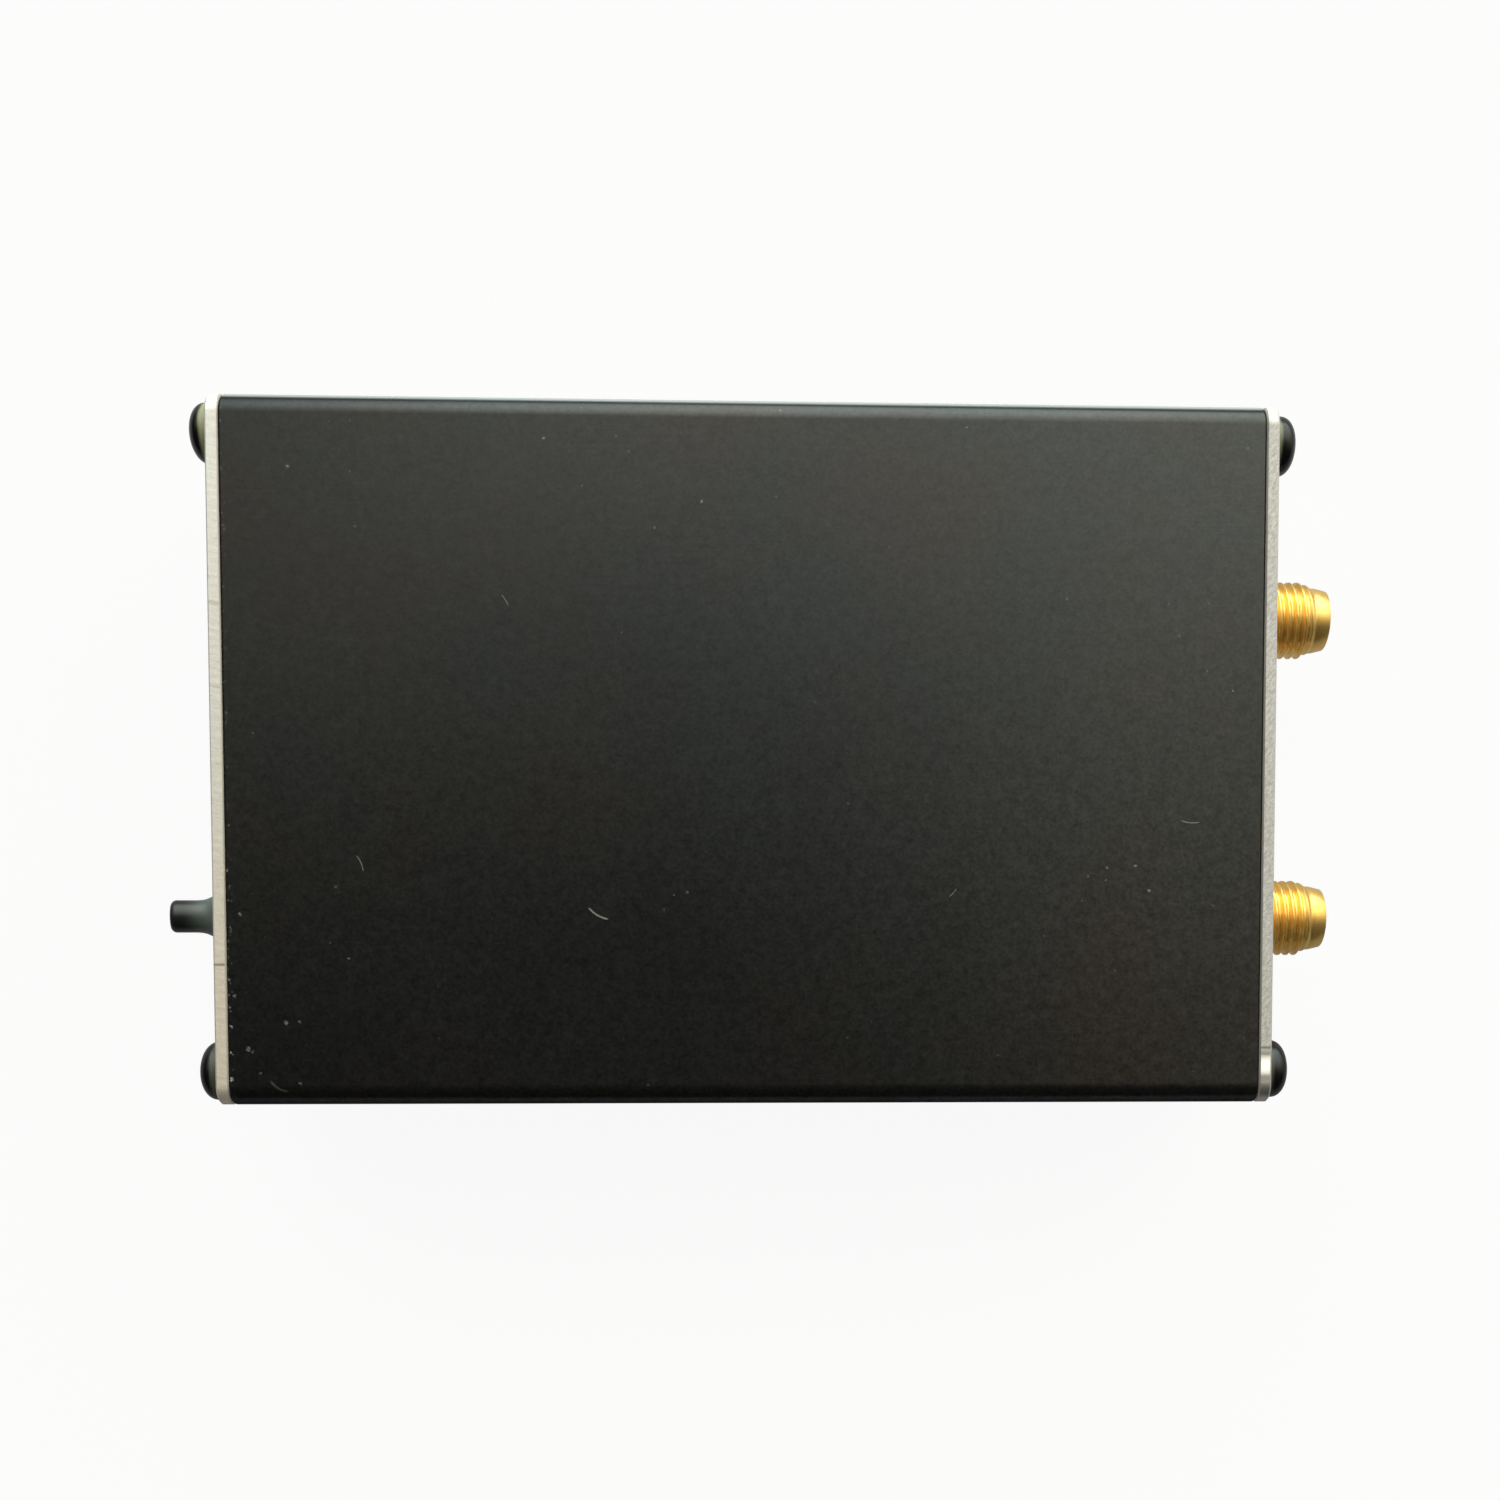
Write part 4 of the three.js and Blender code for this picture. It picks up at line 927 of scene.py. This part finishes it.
def screw_channel():
    """The open channel for a screw at +Y: round outside, slit at 45 degrees, round bore inside."""
    centre = (SCREW_Y, SCREW_Z)
    slit = 135
    outer = math.degrees(math.asin(SLIT_WIDTH / 2 / BOSS_RADIUS))
    bore = math.degrees(math.asin(SLIT_WIDTH / 2 / BORE_RADIUS))
    floor = 180 + math.degrees(math.asin((SCREW_Z - WALL) / BOSS_RADIUS))
    wall = math.degrees(math.acos((HALF_WIDTH - WALL - SCREW_Y) / BOSS_RADIUS))
    return np.vstack([
        arc(centre, BOSS_RADIUS, floor, slit + outer, 22),
        arc(centre, BORE_RADIUS, slit + bore, slit - bore + 360, 56),
        arc(centre, BOSS_RADIUS, slit - outer, wall, 18),
    ])


def half_section():
    """One half of the extrusion, seen along X: wall, rebate, board rib, screw channel, tongue."""
    inner = HALF_WIDTH - WALL
    corner = (HALF_WIDTH - EDGE_RADIUS, EDGE_RADIUS)
    rib_top = BOARD_LOW[2] - BOARD_SLOT
    rib_bottom = rib_top - RIB_THICKNESS
    hook_low, hook_high = SPLIT - TONGUE_HEIGHT, SPLIT + TONGUE_HEIGHT
    rebate = inner + TONGUE_THICKNESS + TONGUE_CLEARANCE
    channel = screw_channel()
    rib_end = inner - RIB_REACH
    rib = [(inner, rib_bottom), (rib_end, rib_bottom), (rib_end, rib_top), (inner, rib_top)]
    loop = np.vstack([
        arc((-corner[0], corner[1]), EDGE_RADIUS, 180, 270, CORNER_STEPS),
        arc(corner, EDGE_RADIUS, 270, 360, CORNER_STEPS),
        [(HALF_WIDTH, SPLIT), (rebate, SPLIT), (rebate, hook_low - TONGUE_CLEARANCE),
         (inner, hook_low - TONGUE_CLEARANCE)],
        rib[::-1],
        channel[::-1],
        channel * (-1, 1),
        [(-y, z) for y, z in rib],
        [(-inner, hook_low), (-rib_end, hook_low), (-rib_end, hook_high),
         (-inner - TONGUE_THICKNESS, hook_high), (-inner - TONGUE_THICKNESS, SPLIT), (-HALF_WIDTH, SPLIT)],
    ])
    return softened(loop, SOFT_CORNER)


def make_case():
    """Both shells: the upper one is the lower one turned over about X."""
    section = half_section()
    over = Matrix.Translation((0, 0, HEIGHT)) @ Matrix.Rotation(math.pi, 4, "X")
    for name, matrix in (("lower_shell", None), ("upper_shell", over)):
        mesh = carried(name, section, -CASE_END, CASE_END, SHELL_CHAMFER)
        piece(name, mesh, "black_anodised", matrix)


# Panels and their screws

def make_panels():
    """The front panel with its jack holes, and the rear panel with the USB window and the lever's slot."""
    face = rounded_box((0, SPLIT), 2 * HALF_WIDTH, HEIGHT, EDGE_RADIUS, CORNER_STEPS)
    screws = [circle((y, z), PANEL_HOLE) for y in (-SCREW_Y, SCREW_Y) for z in (SCREW_Z, HEIGHT - SCREW_Z)]
    jacks = [circle((y, JACK_Z), JACK_HOLE, 96) for y in jack_places()]
    front = plate("front_panel", face, screws + jacks, PANEL_INNER, PANEL_OUTER, PANEL_CHAMFER)
    piece("front_panel", front, "bright_aluminium", finish="front_aluminium")

    window = rounded_box(
        (USB_Y, USB_LOW[2] + USB_HEIGHT / 2),
        2 * (USB_HALF_WIDTH + USB_WINDOW_GAP),
        USB_HEIGHT + 2 * USB_WINDOW_GAP,
        USB_CORNER,
    )
    slot_width = 2 * (NECK_RADIUS + LEVER_CLEARANCE)
    reach = PANEL_OUTER + PIVOT[0]
    slot_half = NECK_RADIUS / math.cos(LEVER_TILT) + reach * math.tan(LEVER_TILT) + LEVER_CLEARANCE
    slot = rounded_box((PIVOT[1], PIVOT[2]), slot_width, 2 * slot_half, slot_width / 2 - HAIR, 24)
    rear = plate("rear_panel", face, screws + [window, slot], -PANEL_OUTER, -PANEL_INNER, PANEL_CHAMFER)
    piece("rear_panel", rear, "bright_aluminium", finish="rear_aluminium")


def screw_mesh():
    """A pan-head screw at the origin, head towards +X, with a tapering cross recess.

    The crown's height above the rim is the crown times sin a at radius head times cos a to a power.
    """
    crown = HEAD_HEIGHT - HEAD_RIM
    angle = np.linspace(0, np.pi / 2, 30)
    dome = np.stack([HEAD_RIM + crown * np.sin(angle), HEAD_RADIUS * np.cos(angle) ** CROWN_POWER], -1)
    dome[-1, 1] = 0
    rim = arc((HEAD_EDGE, HEAD_RADIUS - HEAD_EDGE), HEAD_EDGE, 180, 90, 5)
    profile = np.vstack([
        [(-SHANK_LENGTH, 0), (-SHANK_LENGTH, SHANK_RADIUS / 2), (-SHANK_LENGTH + SHANK_TIP, SHANK_RADIUS),
         (0, SHANK_RADIUS)],
        rim,
        dome,
    ])
    body = turned("screw", profile, 72)
    half, arm = RECESS_WIDTH / 2, RECESS_SPAN / 2
    cross = [(arm, -half), (arm, half), (half, half), (half, arm), (-half, arm), (-half, half), (-arm, half),
             (-arm, -half), (-half, -half), (-half, -arm), (half, -arm), (half, -half)]
    cross = softened(cross, RECESS_CORNER, 4)
    rings = [placed_along_x(cross * RECESS_TAPER, HEAD_HEIGHT - RECESS_DEPTH),
             placed_along_x(cross, HEAD_HEIGHT), placed_along_x(cross, HEAD_HEIGHT + RECESS_PAST)]
    count = len(cross)
    caps = [range(count), range(2 * count, 3 * count)]
    cutter = closed_mesh("recess", np.vstack(rings), grid_faces(3, count), caps)
    return combined(body, [cutter])


def make_screws():
    """Four screws at each end, each left at its own turn."""
    pattern = screw_mesh()
    places = [(side * SCREW_Y, z) for z in (SCREW_Z, HEIGHT - SCREW_Z) for side in (-1, 1)]
    for end, side in (("front", 1), ("rear", -1)):
        for index, (y, z) in enumerate(places):
            spin = Matrix.Rotation(math.radians(SCREW_TURNS[index + (side < 0) * 4]), 4, "X")
            face = Matrix.Rotation(0 if side > 0 else math.pi, 4, "Z")
            place = Matrix.Translation((side * (PANEL_OUTER + SEAT), y, z))
            piece(f"{end}_screw_{index + 1}", pattern.copy(), "black_screw", place @ face @ spin)


# Coaxial jacks

def jack_places():
    """The Y of each jack's axis, from the frame."""
    return [float(sum(span(f"rf_jack_{n}_body")[i][1] for i in (0, 1)) / 2) for n in (1, 2)]


def threaded_barrel():
    """The jack's barrel as one ring: outer wall with its thread, tip, mouth, bore and back end.

    Along the thread the radius is the outer radius less the depth times a wave. The wave's phase is the
    distance over the pitch less the angle over a turn, so that the groove climbs as a right-hand helix. It
    is flat at the crest and the root, and fades out over the first turn and down the shoulder.
    """
    steps = 96
    angle = np.linspace(0, 2 * np.pi, steps, endpoint=False)
    start = FLANGE_FRONT + RELIEF_LENGTH
    end = JACK_TIP - TIP_LENGTH
    shoulder = end - SHOULDER_LENGTH
    along = np.linspace(start, end, int((end - start) / THREAD_PITCH * THREAD_ROWS))
    outer = np.interp(along, [shoulder, end], [THREAD_RADIUS, TIP_RADIUS])
    phase = along[:, None] / THREAD_PITCH - angle[None] / (2 * np.pi)
    wave = np.clip(THREAD_WIDTH - THREAD_SLOPE * np.abs(phase - np.floor(phase) - 0.5), 0, 1)
    fade = np.clip((along - start) / THREAD_PITCH, 0, 1) * np.clip((end - along) / SHOULDER_LENGTH, 0, 1)
    thread_radius = outer[:, None] - THREAD_DEPTH * wave * fade[:, None]
    thread = np.stack([np.broadcast_to(along[:, None], thread_radius.shape), thread_radius], -1)

    lead = [(FLANGE_MIDDLE, BORE_OF_JACK), (FLANGE_MIDDLE, RELIEF_RADIUS), (start, RELIEF_RADIUS)]
    tip = np.vstack([
        [(end + TIP_START, TIP_RADIUS), (JACK_TIP - TIP_TAPER, TIP_RADIUS)],
        arc((JACK_TIP - TIP_EDGE, MOUTH_RADIUS + 2 * TIP_EDGE), TIP_EDGE, 60, 10, 5),
        arc((JACK_TIP - TIP_EDGE, MOUTH_RADIUS + TIP_EDGE), TIP_EDGE, -10, -90, 4),
        [(MOUTH_FLOOR, MOUTH_RADIUS), (MOUTH_FLOOR, BORE_OF_JACK)],
    ])
    lead, tip = [np.repeat(np.asarray(part, float)[:, None], steps, 1) for part in (lead, tip)]
    grid = np.concatenate([lead, thread, tip])
    points = np.stack([grid[..., 0], grid[..., 1] * np.cos(angle), grid[..., 1] * np.sin(angle)], -1)
    return closed_mesh("barrel", points.reshape(-1, 3), grid_faces(len(grid), steps, wrap_rows=True))


def jack_flange():
    """The square flange with its four legs, bored for the insulator."""
    half = FLANGE_WIDTH / 2
    flange = box_mesh("flange", (FLANGE_BACK, -half, -half), (FLANGE_FRONT, half, half), FLANGE_EDGE)
    upper_floor = BOARD_HIGH[2] + SEAT - JACK_Z
    lower_roof = BOARD_LOW[2] - SEAT - JACK_Z
    thickness = lower_roof + half
    legs = []
    for side in (-1, 1):
        y0, y1 = sorted((side * (half - LEG_WIDTH), side * (half - HAIR)))
        for z0, z1 in ((upper_floor, upper_floor + thickness), (-half + HAIR, lower_roof)):
            legs.append(box_mesh("leg", (JACK_LOW[0], y0, z0), (FLANGE_MIDDLE, y1, z1), LEG_EDGE))
    bore = rod("bore", FLANGE_BACK - PAST, FLANGE_FRONT + PAST, BORE_OF_JACK + BORE_EASE, 96)
    return combined(combined(flange, legs, "UNION"), [bore])


def contact_mesh():
    """The centre contact: a pin with a bore at its mouth, slit into four fingers."""
    low = span("rf_jack_1_contact")[0][0]
    tip = MOUTH_FLOOR - SEAT
    bore_end = MOUTH_FLOOR - CONTACT_BORE_DEPTH
    back_edge, tip_edge = CONTACT_BACK_EDGE, CONTACT_TIP_EDGE
    profile = np.vstack([
        [(low, 0), (low, CONTACT_RADIUS - back_edge), (low + back_edge, CONTACT_RADIUS)],
        arc((tip - tip_edge, CONTACT_RADIUS - tip_edge), tip_edge, 90, 0, 5),
        [(tip, CONTACT_BORE + CONTACT_MOUTH_WIDTH), (tip - CONTACT_MOUTH_DEPTH, CONTACT_BORE),
         (bore_end, CONTACT_BORE), (bore_end - CONTACT_BORE_POINT, 0)],
    ])
    reach = CONTACT_RADIUS + PAST / 2
    slits = [box_mesh("slit", (bore_end, -a, -b), (MOUTH_FLOOR + PAST, a, b))
             for a, b in ((reach, CONTACT_SLIT / 2), (CONTACT_SLIT / 2, reach))]
    return combined(turned("contact", profile, 48), slits)


def insulator_mesh():
    """The insulator: a ring with softened ends, flush with the floor of the jack's mouth."""
    bore, outer = CONTACT_RADIUS + SEAT, INSULATOR_RADIUS
    loop = [(FLANGE_BACK, bore), (MOUTH_FLOOR, bore), (MOUTH_FLOOR, outer), (FLANGE_BACK, outer)]
    return turned("insulator", softened(loop, INSULATOR_EDGE), ring=True)


def make_jacks():
    """Both jacks, each a body, an insulator and a contact."""
    body = combined(threaded_barrel(), [jack_flange()], "UNION")
    insulator, contact = insulator_mesh(), contact_mesh()
    for number, (y, turn) in enumerate(zip(jack_places(), CONTACT_TURNS), 1):
        place = Matrix.Translation((0, y, JACK_Z))
        spin = place @ Matrix.Rotation(math.radians(turn), 4, "X")
        name = f"rf_jack_{number}"
        piece(f"{name}_body", body.copy(), "gold_plate", place)
        piece(f"{name}_insulator", insulator.copy(), "ptfe", place)
        piece(f"{name}_contact", contact.copy(), "gold_plate", spin)


# USB socket

def usb_outline():
    """The socket's stepped outline, with rounded shoulders, counterclockwise seen along X."""
    right = [(USB_HALF_FOOT, 0), (USB_HALF_FOOT, USB_STEPS[0]), (USB_HALF_WIDTH, USB_STEPS[1]),
             (USB_HALF_WIDTH, USB_HEIGHT)]
    left = [(-y, z) for y, z in right[::-1]]
    return softened(np.array(right + left) + (USB_Y, USB_LOW[2]), USB_CORNER, 8)


def make_usb_socket():
    """The folded shell: its outline carried along X as a wall with rounded lips."""
    outer = usb_outline()
    inner = drawn_in(outer, USB_WALL)
    x0, x1 = USB_LOW[0], USB_HIGH[0]
    rings = []
    for x, inward in ((x0, 1), (x1, -1)):
        for angle in np.linspace(0, np.pi, 7)[::-inward]:
            share = 0.5 - 0.5 * math.cos(angle)
            ring = outer + (inner - outer) * share
            rings.append(placed_along_x(ring, x + inward * USB_WALL / 2 * (1 - math.sin(angle))))
    shell = closed_mesh("usb_shell", np.vstack(rings), grid_faces(len(rings), len(outer), wrap_rows=True))
    low = USB_LOW[2]
    tabs = []
    for side in (-1, 1):
        reaches = (USB_HALF_FOOT - USB_WALL / 2, USB_HALF_FOOT + USB_TAB_REACH)
        y0, y1 = sorted(USB_Y + side * reach for reach in reaches)
        for x in (BOARD_LOW[0] + USB_TAB_INSET, x1 - USB_TAB_INSET - USB_TAB_LENGTH):
            far = (x + USB_TAB_LENGTH, y1, low + USB_WALL)
            tabs.append(box_mesh("tab", (x, y0, low + HAIR), far, USB_TAB_EDGE))
    piece("usb_shell", combined(shell, tabs, "UNION"), "nickel_plate")


# Lever

def make_lever():
    """The lever: a round rod with a rounded tip and a trumpet skirt, then neck, ball and tail.

    Along the flare the radius is the rod's plus the skirt's excess times the share of the way to a power.
    """
    skirt_top = SKIRT_FLOOR + SKIRT_RIM
    tip = arc((LEVER_LENGTH - LEVER_ROUNDING, LEVER_RADIUS - LEVER_ROUNDING), LEVER_ROUNDING, 0, 90, 14)
    share = np.linspace(0, 1, 36)
    flare = np.stack([
        skirt_top + FLARE_LENGTH * (1 - share),
        LEVER_RADIUS + (SKIRT_RADIUS - LEVER_RADIUS) * share ** FLARE_POWER,
    ], -1)
    rim = arc((SKIRT_FLOOR + SKIRT_RIM / 2, SKIRT_RADIUS - SKIRT_RIM / 2), SKIRT_RIM / 2, 90, 180, 6)
    top = math.degrees(math.asin(NECK_RADIUS / BALL_RADIUS))
    bottom = 180 - math.degrees(math.asin(TAIL_RADIUS / BALL_RADIUS))
    profile = np.vstack([
        [(LEVER_LENGTH, 0)],
        tip,
        flare[:-1],
        rim,
        [(SKIRT_FLOOR, NECK_RADIUS)],
        arc((0, 0), BALL_RADIUS, top, bottom, 24),
        [(-TAIL_LENGTH + TAIL_EDGE, TAIL_RADIUS), (-TAIL_LENGTH, TAIL_RADIUS - TAIL_EDGE), (-TAIL_LENGTH, 0)],
    ])
    lever = turned("lever", profile * (-1, 1))
    reach = BALL_RADIUS + PAST
    eye = rod("eye", -reach, reach, PIN_HOLE)
    eye.transform(Matrix.Rotation(math.pi / 2, 4, "Z"))
    bore = rod("bore", TAIL_LENGTH - PLUNGER_DEPTH, reach + 2 * PAST, PLUNGER_HOLE)
    place = Matrix.Translation(Vector(PIVOT)) @ Matrix.Rotation(LEVER_TILT, 4, "Y")
    piece("switch_lever", combined(lever, [eye, bore]), "black_moulding", place, "lever_moulding", "lever")


# Inner pieces that keep the frame's own shape

def dress_inner_pieces():
    """Gives each kept node its finish, and rounds its edges a little."""
    slots = {row["node"]: row["material_slot"] for row in frame["record"]["subparts"]}
    for name, node in frame["nodes"].items():
        if node.hide_render:
            continue
        slot = slots[name]
        node.material_slots[0].material = FINISH[slot]
        merged = node.modifiers.new("merged", "WELD")
        merged.merge_threshold = INNER_MERGE * MM
        rounded = node.modifiers.new("rounded", "BEVEL")
        rounded.limit_method = "ANGLE"
        rounded.angle_limit = math.radians(INNER_CREASE)
        rounded.width = INNER_EDGE * MM
        rounded.segments = 2


# Floor, backdrop and light

def camera_sees(tree):
    """A share that is one for what the camera sees itself, also through glass."""
    path = tree.add("ShaderNodeLightPath")
    return tree.most(path["Is Camera Ray"], path["Is Transmission Ray"])


def floor_finish():
    """A pale matt floor that shows nearly white to the camera and keeps the shadow.

    Metal mirrors it as a plain grey, darker on the side away from the light.
    """
    material = bpy.data.materials.new("floor")
    tree = Tree(emptied(material))
    mirrored = tree.add("ShaderNodeLightPath")["Is Glossy Ray"]
    white = tree.most(camera_sees(tree) * FLOOR_SEEN, mirrored)
    aside = tree.parts(tree.add("ShaderNodeTexCoord")["Object"])["Y"]
    level = tree.blend(mirrored, 1.0, aside.between(-0.05, 0.04, *FLOOR_IN_METAL))
    matt = tree.add("ShaderNodeBsdfDiffuse", {"Color": (0.8, 0.8, 0.79)})
    glow = tree.add("ShaderNodeEmission", {"Color": (1, 1, 1), "Strength": level})
    mixed = tree.add("ShaderNodeMixShader", {0: white, 1: matt, 2: glow})
    tree.add("ShaderNodeOutputMaterial", {"Surface": mixed})
    return material


def make_stage():
    """The floor, just under the case."""
    corners = [(-1, -1), (1, -1), (1, 1), (-1, 1)]
    mesh = bpy.data.meshes.new("floor")
    mesh.from_pydata([(x * FLOOR_REACH, y * FLOOR_REACH, -FLOOR_GAP) for x, y in corners], [], [range(4)])
    mesh.materials.append(floor_finish())
    added("floor", mesh)


def make_light():
    """A world of a few broad soft lights, which the camera sees as the same pale tone as the floor.

    Each light's strength rises smoothly from its edge to its middle. It is multiplied by one plus its lean
    times how far the direction goes towards the horizon below it. A dim even light is added all round.
    """
    world = bpy.data.worlds.new("studio")
    tree = Tree(emptied(world))
    direction = tree.vector("NORMALIZE", tree.add("ShaderNodeTexCoord")["Generated"])
    total = ROOM_LIGHT
    for azimuth, elevation, edge, lean, colour in LIGHTS:
        azimuth, elevation = math.radians(azimuth), math.radians(elevation)
        level = (math.cos(azimuth), math.sin(azimuth), 0)
        middle = (level[0] * math.cos(elevation), level[1] * math.cos(elevation), math.sin(elevation))
        near = tree.vector("DOT_PRODUCT", direction, middle).between(edge, 1.0)
        leaning = 1.0 + lean * tree.vector("DOT_PRODUCT", direction, level)
        total = tree.vector("ADD", total, tree.scaled(colour, near * leaning))
    seen = tree.mix(camera_sees(tree), total, BACKDROP)
    tree.add("ShaderNodeOutputWorld", {
        "Surface": tree.add("ShaderNodeBackground", {"Color": seen, "Strength": 1.0})})
    bpy.context.scene.world = world


place_camera()
make_case()
make_panels()
make_screws()
make_jacks()
make_usb_socket()
make_lever()
dress_inner_pieces()
make_stage()
make_light()
bpy.context.scene.view_settings.view_transform = "Standard"
